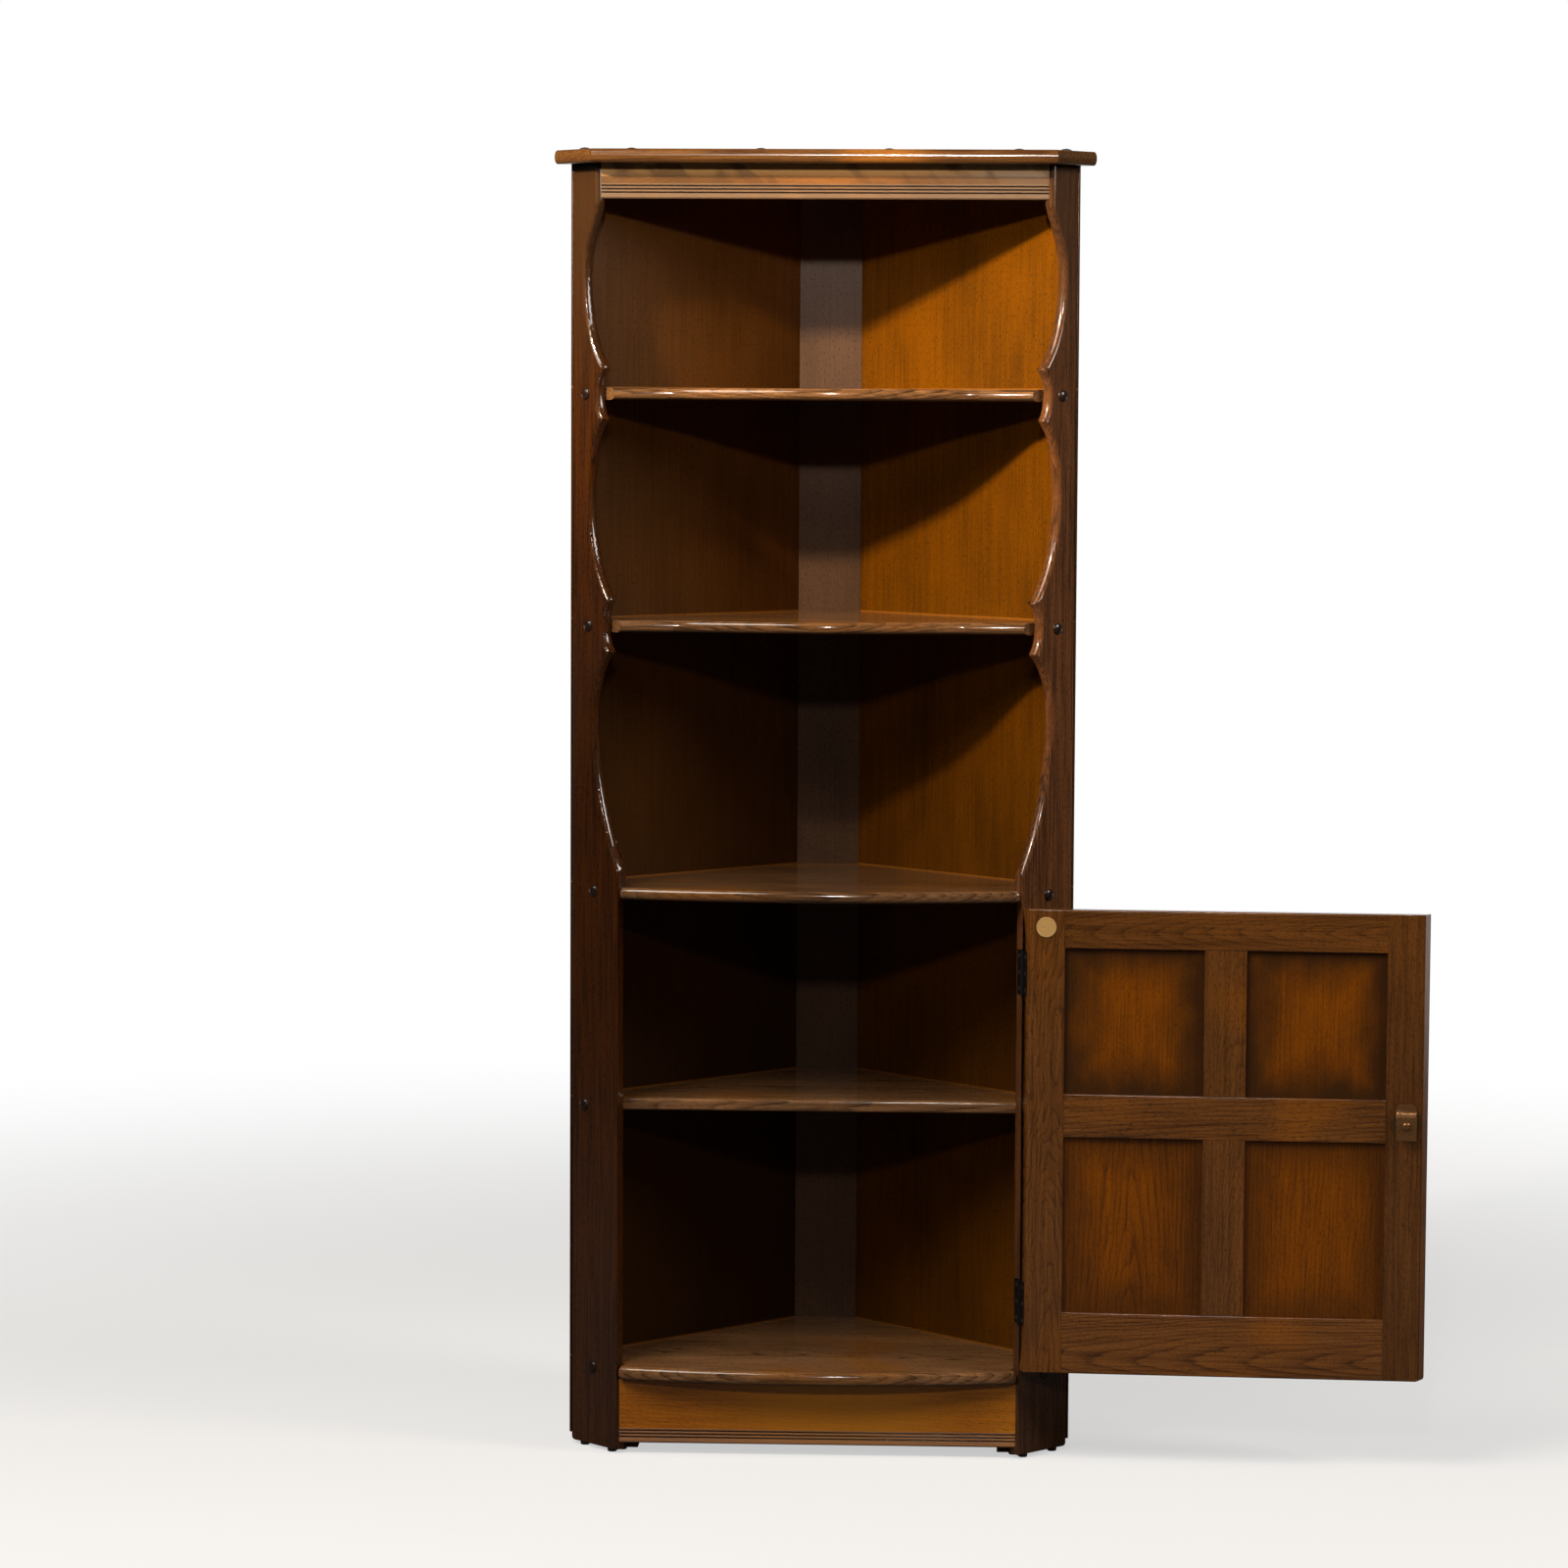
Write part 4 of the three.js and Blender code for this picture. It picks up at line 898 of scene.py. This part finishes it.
class CUPBOARD_OT_backs(bpy.types.Operator):
    """Stain the back post, the back panels and the corner blocks"""

    bl_idname = "cupboard.backs"
    bl_label = "Backs"

    def execute(self, context):
        sizes, finish = context.scene.cupboard_sizes, context.scene.cupboard_finish
        post = copy_of("back_post")
        round_edges(post, sizes.board_arris, segments=2)
        smooth(post)
        grey = stains(finish, "post", "dark", "light")
        material = wood(
            "back_post", board_place("back_post", *UPRIGHT), *grey, seed=4.4,
            heart=(0.2, 0.05), lean=(0.01, 0.01), rings=150, figure=0.1, streak=0.2, rough=0.55,
            gloss=0.15, sheen=0.3, pores=0.7,
        )
        settle(post, material, "post_wood", "back_post")
        for hand, side in HANDS:
            node = f"{side}_back_panel"
            low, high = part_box(node)
            middle = (low.z + high.z) / 2

            def painted_low_shade(shop, tone, x, y, z):
                """Painted shade growing darker towards the foot, more on the left panel, and a pale
                line along each shelf.
                """
                # Painted shade: the panel darkens towards its foot, as the cupboard's lower part
                # lies in shadow.
                deep = (0.55 - z).step(0.0, 1.1) * (0.55 - hand * 0.25)
                tone = shop.mix(deep, tone, finish.panel_shade)
                rises = [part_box(shelf)[1].z - middle + 0.0008 for shelf in SHELVES]
                lines = sum((z - rise).line(0.0006, 0.0016) for rise in rises)
                return shop.mix(lines * 0.5, tone, finish.shelf_amber)

            panel = copy_of(node)
            round_edges(panel, 0.0003, segments=1)
            smooth(panel)
            # Each panel takes its own light stain; the right one's is partly painted light.
            material = wood(
                node, board_place(node, (DIAGONAL, -hand * DIAGONAL, 0), (0, 0, 1)),
                finish.panel_dark, getattr(finish, f"{side}_panel"), seed=7.7 + hand * 2,
                heart=(0.6, 0.1), lean=(0.004, 0.002), rings=150, figure=0.08, streak=0.35,
                pores=0.7, cloud=1.3, gloss=0.4, sheen=0.2, shade=finish.panel_shade, rim=0.035,
                rim_depth=0.45, marks=painted_low_shade,
            )
            settle(panel, material, "panel_wood", node)
            node = f"{side}_corner_block"
            block = copy_of(node)
            round_edges(block, sizes.board_arris, segments=2)
            smooth(block)
            material = wood(
                node, board_place(node, *UPRIGHT), *grey, seed=2.1 + hand, rough=0.6,
                gloss=0.0, figure=0.4,
            )
            settle(block, material, "post_wood", node)
        return {"FINISHED"}


class CUPBOARD_OT_pegs(bpy.types.Operator):
    """Turn one domed peg and set a copy of it at every peg's place"""

    bl_idname = "cupboard.pegs"
    bl_label = "Pegs"

    def execute(self, context):
        sizes, finish = context.scene.cupboard_sizes, context.scene.cupboard_finish
        radius, height = sizes.peg_radius, sizes.peg_height
        foot = height * 0.12
        master = fresh(
            bpy.ops.mesh.primitive_cylinder_add, "peg_master", vertices=40, radius=radius,
            depth=foot, location=(0, 0, foot / 2),
        )
        steps = 6
        turns = [math.pi / 2 * i / steps for i in range(steps + 1)]
        step_in(master, [
            (radius * (math.cos(a) - math.cos(b)), (height - foot) * (math.sin(b) - math.sin(a)))
            for a, b in zip(turns, turns[1:-1])
        ])
        smooth(master, 40)
        material = peg_wood("peg", finish.peg)
        for hand, side in HANDS:
            normal = Vector((hand * DIAGONAL, -DIAGONAL, 0))
            plane = normal.dot(Vector((hand * HALF_WIDTH, FRONT, 0)))
            for shelf in SHELVES:
                node = f"{side}_peg_{shelf.replace('waist_shelf', 'waist')}"
                low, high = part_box(node)
                middle = (low + high) / 2
                middle = middle - normal * (middle.dot(normal) - plane)
                peg = twin(master, f"{node}_turned", facing(middle, normal))
                settle(peg, material, "peg_wood", node)
        for share in TOP_PEGS:
            for hand, side in HANDS:
                spot = (hand * HALF_WIDTH * share, FRONT + TOP_PEG_INSET, TOP_PEG_FOOT)
                peg = twin(master, f"top_peg_{side}_{round(share * 100)}", Matrix.Translation(spot))
                settle(peg, material, "peg_wood", body="carcase")
        drop(master)
        return {"FINISHED"}


class CUPBOARD_OT_glides(bpy.types.Operator):
    """Mould one glide and set a copy of it under every foot"""

    bl_idname = "cupboard.glides"
    bl_label = "Glides"

    def execute(self, context):
        finish = context.scene.cupboard_finish
        low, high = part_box("post_glide")
        radius = (high.x - low.x) / 2
        master = fresh(
            bpy.ops.mesh.primitive_cylinder_add, "glide_master", vertices=32, radius=radius,
            depth=high.z, location=(0, 0, high.z / 2),
        )
        round_edges(master, 0.0013, lambda a, b: max(a.z, b.z) < 0.0001, segments=4)
        take_faces(master, lambda c, n: n.z < -0.99)
        in_edit(master, bpy.ops.mesh.inset, "FACE", thickness=0.002, depth=0)
        in_edit(master, bpy.ops.mesh.inset, "FACE", thickness=0.0008, depth=-0.0008)
        smooth(master, 40)
        material = plastic("glide", finish.glide)
        nodes = ["post_glide"] + [
            f"{side}_{where}_glide" for hand, side in HANDS for where in ("rear", "front", "block")
        ]
        for node in nodes:
            low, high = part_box(node)
            middle = (low + high) / 2
            glide = twin(master, f"{node}_moulded", Matrix.Translation((middle.x, middle.y, 0)))
            settle(glide, material, "glide_plastic", node)
        drop(master)
        return {"FINISHED"}


class CUPBOARD_OT_door_frame(bpy.types.Operator):
    """Shape and stain the door's stiles, rails and muntins"""

    bl_idname = "cupboard.door_frame"
    bl_label = "Door frame"

    def execute(self, context):
        sizes, finish = context.scene.cupboard_sizes, context.scene.cupboard_finish
        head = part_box("door_top_rail")[1].z
        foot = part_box("door_bottom_rail")[0].z
        keys = ("seed", "heart", "lean", "rings", "figure", "patch", "wander", "swirl")
        cuts = {
            "hinge_stile": (2.6, (0.02, 0.03), (0.02, 0.05), 300, 0.55, 0.5, 0.06, 0.006),
            "lock_stile": (9.2, (0.1, 0.04), (0.02, 0.04), 330, 0.35, 0.3),
            "top_rail": (6.5, (0.004, 0.045), (0.012, 0.07), 330, 0.42, 0.5, 0.01),
            "middle_rail": (3.9, (0.06, 0.05), (0.03, 0.07), 170, 0.55, 0.55),
            "bottom_rail": (11.4, (0.02, 0.05), (0.02, 0.05), 280, 0.6),
            "upper_muntin": (14.3, (0.03, 0.04), (0.03, 0.09), 320, 0.38),
            "lower_muntin": (17.2, (0.05, 0.04), (0.02, 0.08), 320, 0.38, 0.4),
        }
        strengths = (1.09, 0.92, 1.03, 1.22, 1.43, 0.98, 1.09)
        leaves = [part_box(f"{height}_hinge_door_leaf") for height in HEIGHTS]
        for (part, values), strength in zip(cuts.items(), strengths):
            node = f"door_{part}"
            cut = dict(zip(keys, values))
            piece = copy_of(node)

            def outer(start, end):
                """Edges along the outside of the whole door, clear of the hinges."""
                a, b = CLOSED_DOOR @ start, CLOSED_DOOR @ end
                if any(l.z - 0.003 < p.z < h.z + 0.003 for l, h in leaves for p in (a, b)):
                    if min(a.x, b.x) > 0.25:
                        return False
                on_side = min(abs(a.x), abs(b.x)) > 0.28 and abs(a.x - b.x) < 0.001
                on_head = min(a.z, b.z) > head - 0.0005
                on_foot = max(a.z, b.z) < foot + 0.0005
                return (on_side or on_head or on_foot) and abs(a.y - b.y) < 0.001

            def inner(start, end):
                """Edges round the panels' openings, on either face."""
                a, b = CLOSED_DOOR @ start, CLOSED_DOOR @ end
                if abs(a.y - b.y) > 0.0005 or HAIR < a.y < DOOR_THICKNESS - HAIR:
                    return False
                if "rail" in part:
                    return abs(a.z - b.z) < HAIR and foot + 0.001 < a.z < head - 0.001
                reach = OPENING_HALF if "stile" in part else MUNTIN_HALF
                return abs(abs(a.x) - reach) < HAIR and abs(a.x - b.x) < HAIR

            def free_corner(start, end):
                """The upright edge at the foot of the lock stile."""
                a, b = CLOSED_DOOR @ start, CLOSED_DOOR @ end
                low_down = max(a.z, b.z) < foot + 0.0005
                return max(a.x, b.x) < -0.27 and low_down and abs(a.y - b.y) > 0.01

            place = board_place(node, *(RAIL if "rail" in part else UPRIGHT), door=True)
            half = place[1][0]

            def edge_stain(shop, tone, x, y, z):
                """Darker stain on the lock stile's outer edge."""
                return shop.mix((1 - (x + half).step(0.001, 0.003)) * 0.85, tone, finish.groove)

            if part == "lock_stile":
                round_edges(piece, sizes.door_corner, free_corner, segments=5)
                cut.update(marks=edge_stain, bare=0.001)
            round_edges(piece, sizes.opening_arris, inner, segments=2)
            if "muntin" not in part and part != "middle_rail":
                round_edges(piece, sizes.door_arris, outer, segments=3)
            smooth(piece, 32)
            colours = (shaded(tone, strength) for tone in stains(finish, "door"))
            material = wood(
                node, place, *colours, sheen=0.16, patches=6.0, streak=0.5, pores=0.55, **cut
            )
            settle(piece, material, "door_wood", node)
        return {"FINISHED"}


class CUPBOARD_OT_door_panels(bpy.types.Operator):
    """Stain the door's four panels"""

    bl_idname = "cupboard.door_panels"
    bl_label = "Door panels"

    def execute(self, context):
        finish = context.scene.cupboard_finish
        keys = ("seed", "heart", "lean", "rings", "figure", "rim_depth", "wander")
        cuts = {
            "upper_hinge_side": (1.3, (0.3, 0.05), (0.01, 0.01), 190, 0.3, 0.95),
            "upper_lock_side": (5.8, (0.26, 0.05), (0.01, 0.01), 170, 0.3, 0.95),
            "lower_hinge_side": (9.9, (0.0, 0.02), (0.03, 0.1), 150, 0.6, 0.6, 0.05),
            "lower_lock_side": (13.1, (0.14, 0.03), (0.03, 0.04), 160, 0.4, 0.6, 0.03),
        }
        for where, values in cuts.items():
            node = f"door_panel_{where}"
            panel = copy_of(node)
            round_edges(panel, 0.0004, segments=1)
            smooth(panel)
            material = wood(
                node, board_place(node, *UPRIGHT, door=True), finish.inset_dark,
                finish.inset_light, shade=finish.inset_shade, rim=0.085, haze=0.04, gloss=0.4,
                sheen=0.2, streak=0.4, pores=0.45, **dict(zip(keys, values)),
            )
            settle(panel, material, "panel_wood", node)
        return {"FINISHED"}


class CUPBOARD_OT_hinges(bpy.types.Operator):
    """Finish the hinge leaves and pins, and set their screws"""

    bl_idname = "cupboard.hinges"
    bl_label = "Hinges"

    def execute(self, context):
        sizes, finish = context.scene.cupboard_sizes, context.scene.cupboard_finish
        steel = metal("hinge_steel", finish.hinge, 0.42, 0.5)
        bright = metal("screw_steel", finish.screw, 0.35, 0.4)
        for height in HEIGHTS:
            for part in ("frame_leaf", "door_leaf", "pin"):
                node = f"{height}_hinge_{part}"
                piece = copy_of(node)
                smooth(piece, 32)
                settle(piece, steel, "hinge_steel", node)

        radius = sizes.screw_radius
        screw = fresh(
            bpy.ops.mesh.primitive_cylinder_add, "screw_master", vertices=24, radius=radius,
            depth=0.0004, location=(0, 0, 0),
        )
        step_in(screw, ((0.0006, 0.0001), (0.0009, 0.00005)))
        for turn in (0, math.pi / 2):
            cutter = fresh(
                bpy.ops.mesh.primitive_cube_add, "screw_slot", size=1,
                scale=(radius * 1.3, radius * 0.28, 0.0008), location=(0, 0, 0.0004),
                rotation=(0, 0, turn),
            )
            modified(screw, "BOOLEAN", object=cutter, operation="DIFFERENCE", solver="EXACT")
            drop(cutter)
        smooth(screw, 30)

        # The leaves lie between the door's slanted edge and the side board.
        edge = math.pi / 4 - math.atan2(*EDGE_SLANT)
        to_side = Vector((math.cos(edge), math.sin(edge), 0))
        along = Vector((-math.sin(edge), math.cos(edge), 0))
        corner = Vector((HALF_WIDTH, 0, 0))
        here = Matrix.Translation((0, FRONT, 0))
        for height in HEIGHTS:
            low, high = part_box(f"{height}_hinge_door_leaf")
            for count, share in enumerate(SCREW_SHARES):
                level = Vector((0, 0, low.z + (high.z - low.z) * share))
                on_frame = corner + along * SCREW_REACH + level
                on_door = on_frame - to_side * LEAF_GAP
                pair = (("frame", here, on_frame, -to_side), ("door", OPEN_DOOR, on_door, to_side))
                for side, matrix, point, normal in pair:
                    name = f"{height}_hinge_{side}_screw_{count + 1}"
                    piece = twin(screw, name, matrix @ facing(point, normal))
                    body = "carcase" if side == "frame" else "door"
                    settle(piece, bright, "hinge_steel", body=body)
        drop(screw)
        return {"FINISHED"}


class CUPBOARD_OT_latch(bpy.types.Operator):
    """Finish the washer, spindle, tongue, nut, rose and drop ring"""

    bl_idname = "cupboard.latch"
    bl_label = "Latch"

    def execute(self, context):
        sizes, finish = context.scene.cupboard_sizes, context.scene.cupboard_finish
        brass = metal("latch_brass", finish.brass, 0.26, 0.3, 220.0, 0.6)
        steel = metal("latch_steel", finish.catch, 0.24, 0.45, 260.0, 0.7)
        for node in ("handle_rose", "latch_washer", "latch_spindle"):
            piece = copy_of(node)
            smooth(piece, 32)
            settle(piece, brass, "brass", node)
        tongue = copy_of("latch_tongue")

        def rim(start, end):
            """The tongue's edges, without those round its hole."""
            ends = (CLOSED_DOOR @ p for p in (start, end))
            return not all(Vector((p.x - LATCH_X, p.z - LATCH_Z)).length < 0.0045 for p in ends)

        round_edges(tongue, sizes.metal_arris, rim, segments=2, sharper=40)
        smooth(tongue, 32)
        settle(tongue, steel, "latch_steel", "latch_tongue")

        low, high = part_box("latch_nut")
        level = (low.z + high.z) / 2
        base = OPEN_DOOR @ Vector((LATCH_X, DOOR_THICKNESS + LATCH_STACK, level))
        nut = fresh(
            bpy.ops.mesh.primitive_cylinder_add, "latch_nut_domed", vertices=6,
            radius=NUT_REACH, depth=NUT_HEIGHT, location=(0, 0, NUT_HEIGHT / 2),
        )
        round_edges(nut, 0.0004, segments=2)
        dome = fresh(
            bpy.ops.mesh.primitive_cylinder_add, "nut_dome", vertices=32, radius=DOME_RADIUS,
            depth=0.0006, location=(0, 0, NUT_HEIGHT + 0.0002),
        )
        step_in(dome, ((0.0005, 0.0006), (0.001, 0.0006), (0.0015, 0.0003)))
        modified(nut, "BOOLEAN", object=dome, operation="UNION", solver="EXACT")
        drop(dome)
        smooth(nut, 30)
        placed(nut, facing(base, INSIDE_OF_DOOR))
        settle(nut, steel, "latch_steel", "latch_nut")

        low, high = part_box("drop_ring")
        ring = fresh(
            bpy.ops.mesh.primitive_torus_add, "drop_ring_forged", major_segments=56,
            minor_segments=16, major_radius=RING_RADIUS, minor_radius=sizes.ring_wire * 0.98,
        )
        smooth(ring, 60)
        placed(ring, facing((low + high) / 2, INSIDE_OF_DOOR))
        settle(ring, brass, "brass", "drop_ring")
        return {"FINISHED"}


class CUPBOARD_OT_badge(bpy.types.Operator):
    """Stamp the plain round badge: a raised rim round a bare face"""

    bl_idname = "cupboard.badge"
    bl_label = "Badge"

    def execute(self, context):
        finish = context.scene.cupboard_finish
        low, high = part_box("door_badge")
        badge = fresh(
            bpy.ops.mesh.primitive_cylinder_add, "door_badge_stamped", vertices=64,
            radius=BADGE_RADIUS, depth=BADGE_THICKNESS, location=(0, 0, 0),
        )
        face = BADGE_THICKNESS / 2 - 1e-5
        round_edges(badge, 0.0004, lambda a, b: min(a.z, b.z) > face, segments=3)
        steps = ((0.0009, 0.0), (0.0003, -0.0003), (0.0101, 0.0), (0.0006, 0.0001))
        step_in(badge, steps, inside=lambda centre: centre.xy.length < 0.001)
        smooth(badge, 30)
        placed(badge, facing((low + high) / 2, INSIDE_OF_DOOR))
        material = metal("badge_brass", finish.badge, 0.4, 0.2, 300.0, 0.35)
        settle(badge, material, "brass", "door_badge")
        return {"FINISHED"}


class CUPBOARD_OT_stage(bpy.types.Operator):
    """Set up the camera, the lights, the pale floor and the white surroundings"""

    bl_idname = "cupboard.stage"
    bl_label = "Stage"

    def execute(self, context):
        stage = context.scene.cupboard_stage
        self.camera(context)
        self.lamps(context, stage)
        self.floor(stage)
        self.sky(context, stage)
        context.scene.view_settings.view_transform = "Standard"
        return {"FINISHED"}

    def camera(self, context):
        """The camera, turned by its yaw, pitch and roll."""
        data = bpy.data.cameras.new("camera")
        data.lens, data.sensor_width = LENS, SENSOR
        data.clip_start, data.clip_end = 0.1, 60
        camera = bpy.data.objects.new("camera", data)
        context.collection.objects.link(camera)
        yaw, pitch, roll = (math.radians(v) for v in CAMERA_TURN)
        right = Vector((math.cos(yaw), math.sin(yaw), 0))
        ahead = Vector((
            -math.sin(yaw) * math.cos(pitch), math.cos(yaw) * math.cos(pitch), -math.sin(pitch)
        ))
        up = right.cross(ahead)
        x = right * math.cos(roll) + up * math.sin(roll)
        y = up * math.cos(roll) - right * math.sin(roll)
        turn = Matrix((x, y, -ahead)).transposed().to_4x4()
        camera.matrix_world = Matrix.Translation(CAMERA_PLACE) @ turn
        context.scene.camera = camera

    def lamps(self, context, stage):
        """Two spots on the top and the open bays, and four soft lamps round the object."""
        front, left = (0.1, -6.4, 3.22), (-1.7, -2.3, 2.86)
        spots = (
            ("front_spot", front, (0.0, 0.0, 2.05), 0.12, 13.8, (1, 0.96, 0.91)),
            ("left_spot", left, (0.2, -0.2, 2.2), 0.08, 51.0, (1, 0.8, 0.48)),
        )
        for name, place, aim, size, cone, tint in spots:
            data = bpy.data.lights.new(name, "SPOT")
            data.energy, data.color, data.shadow_soft_size = getattr(stage, name), tint, size
            data.spot_size, data.spot_blend = math.radians(cone), 1.0
            self.hang(context, name, data, place, aim)
        boxes = (
            ("front_fill", front, (0, -0.3, 1.0), 0.3, (1, 0.97, 0.93)),
            ("ceiling_box", (-1.4, -2.2, 3.3), (0, -0.4, 0.3), 1.9, (1, 0.95, 0.87)),
            ("left_box", (-3.1, -1.6, 2.9), (0, -0.3, 0.8), 1.4, (1, 0.93, 0.84)),
            ("right_box", (3.1, -1.4, 2.6), (0.2, -0.3, 0.9), 1.4, (1, 0.95, 0.9)),
        )
        for name, place, aim, size, tint in boxes:
            data = bpy.data.lights.new(name, "AREA")
            data.shape, data.size = "DISK", size
            data.energy, data.color = getattr(stage, name), tint
            self.hang(context, name, data, place, aim)

    def hang(self, context, name, data, place, aim):
        """A lamp at its place, turned to where it aims."""
        lamp = bpy.data.objects.new(name, data)
        lamp.location = place
        lamp.rotation_euler = (Vector(aim) - Vector(place)).to_track_quat("-Z", "Y").to_euler()
        context.collection.objects.link(lamp)

    def floor(self, stage):
        """Pale under the object, and white to the camera and to gloss far behind it."""
        floor = fresh(
            bpy.ops.mesh.primitive_circle_add, "floor", vertices=96, radius=22, fill_type="NGON",
            location=(0, 0, 0),
        )
        shop = Shop("floor")
        x, y = shop.axes()[:2]
        away = (x * x + y * y).root()
        camera, spread, glossy, clear = shop.rays("Camera", "Diffuse", "Glossy", "Transmission")
        seen = (camera + (glossy + clear) * y.step(1.0, 4.0)).least(1.0)
        fade = (away.step(0.9, 4.0) * 0.45 + 0.55) * seen
        tone = shop.mix((glossy + spread) * 0.9, stage.floor, shaded(stage.floor, 0.05))
        pale = shop.make("ShaderNodeBsdfDiffuse", {}, {"Color": tone})
        white = shop.make("ShaderNodeEmission", {}, {"Color": (1, 1, 1), "Strength": 1.0})
        both = shop.make("ShaderNodeMixShader", {}, {0: fade, 1: pale, 2: white})
        shop.make("ShaderNodeOutputMaterial", {}, {"Surface": both})
        floor.data.materials.append(shop.material)

    def sky(self, context, stage):
        """White to the camera, and behind the object to gloss; a weak even light otherwise."""
        world = bpy.data.worlds.new("surroundings")
        context.scene.world = world
        world.use_nodes = True
        shop = Shop(tree=world.node_tree)
        camera, glossy, clear = shop.rays("Camera", "Glossy", "Transmission")
        back = shop.axes(shop.make("ShaderNodeTexCoord", out="Generated"))[1]
        seen = (camera + (glossy + clear) * back.step(0.75, 0.98)).least(1.0)
        strength = seen * (1 - stage.sky) + stage.sky
        light = shop.make("ShaderNodeBackground", {}, {"Color": (1, 1, 1), "Strength": strength})
        shop.make("ShaderNodeOutputWorld", {}, {"Surface": light})


OPERATORS = (
    CUPBOARD_OT_stage,
    CUPBOARD_OT_side_boards,
    CUPBOARD_OT_top_and_rails,
    CUPBOARD_OT_shelves,
    CUPBOARD_OT_backs,
    CUPBOARD_OT_pegs,
    CUPBOARD_OT_glides,
    CUPBOARD_OT_door_frame,
    CUPBOARD_OT_door_panels,
    CUPBOARD_OT_hinges,
    CUPBOARD_OT_latch,
    CUPBOARD_OT_badge,
)


class CUPBOARD_PT_panel(bpy.types.Panel):
    bl_label = "Corner cupboard"
    bl_space_type = "VIEW_3D"
    bl_region_type = "UI"
    bl_category = "Cupboard"

    def draw(self, context):
        for operator in OPERATORS:
            self.layout.operator(operator.bl_idname)
        for group in ("cupboard_sizes", "cupboard_finish", "cupboard_stage"):
            box = self.layout.box()
            holder = getattr(context.scene, group)
            for key in holder.__annotations__:
                box.prop(holder, key)


GROUPS = {
    "cupboard_sizes": CupboardSizes,
    "cupboard_finish": CupboardFinish,
    "cupboard_stage": CupboardStage,
}


def register():
    for group in (*GROUPS.values(), *OPERATORS, CUPBOARD_PT_panel):
        bpy.utils.register_class(group)
    for name, group in GROUPS.items():
        setattr(bpy.types.Scene, name, bpy.props.PointerProperty(type=group))


def unregister():
    for name in GROUPS:
        delattr(bpy.types.Scene, name)
    for group in reversed((*GROUPS.values(), *OPERATORS, CUPBOARD_PT_panel)):
        bpy.utils.unregister_class(group)


def main():
    register()
    for operator in OPERATORS:
        group, name = operator.bl_idname.split(".")
        getattr(getattr(bpy.ops, group), name)()


if __name__ == "__main__":
    main()
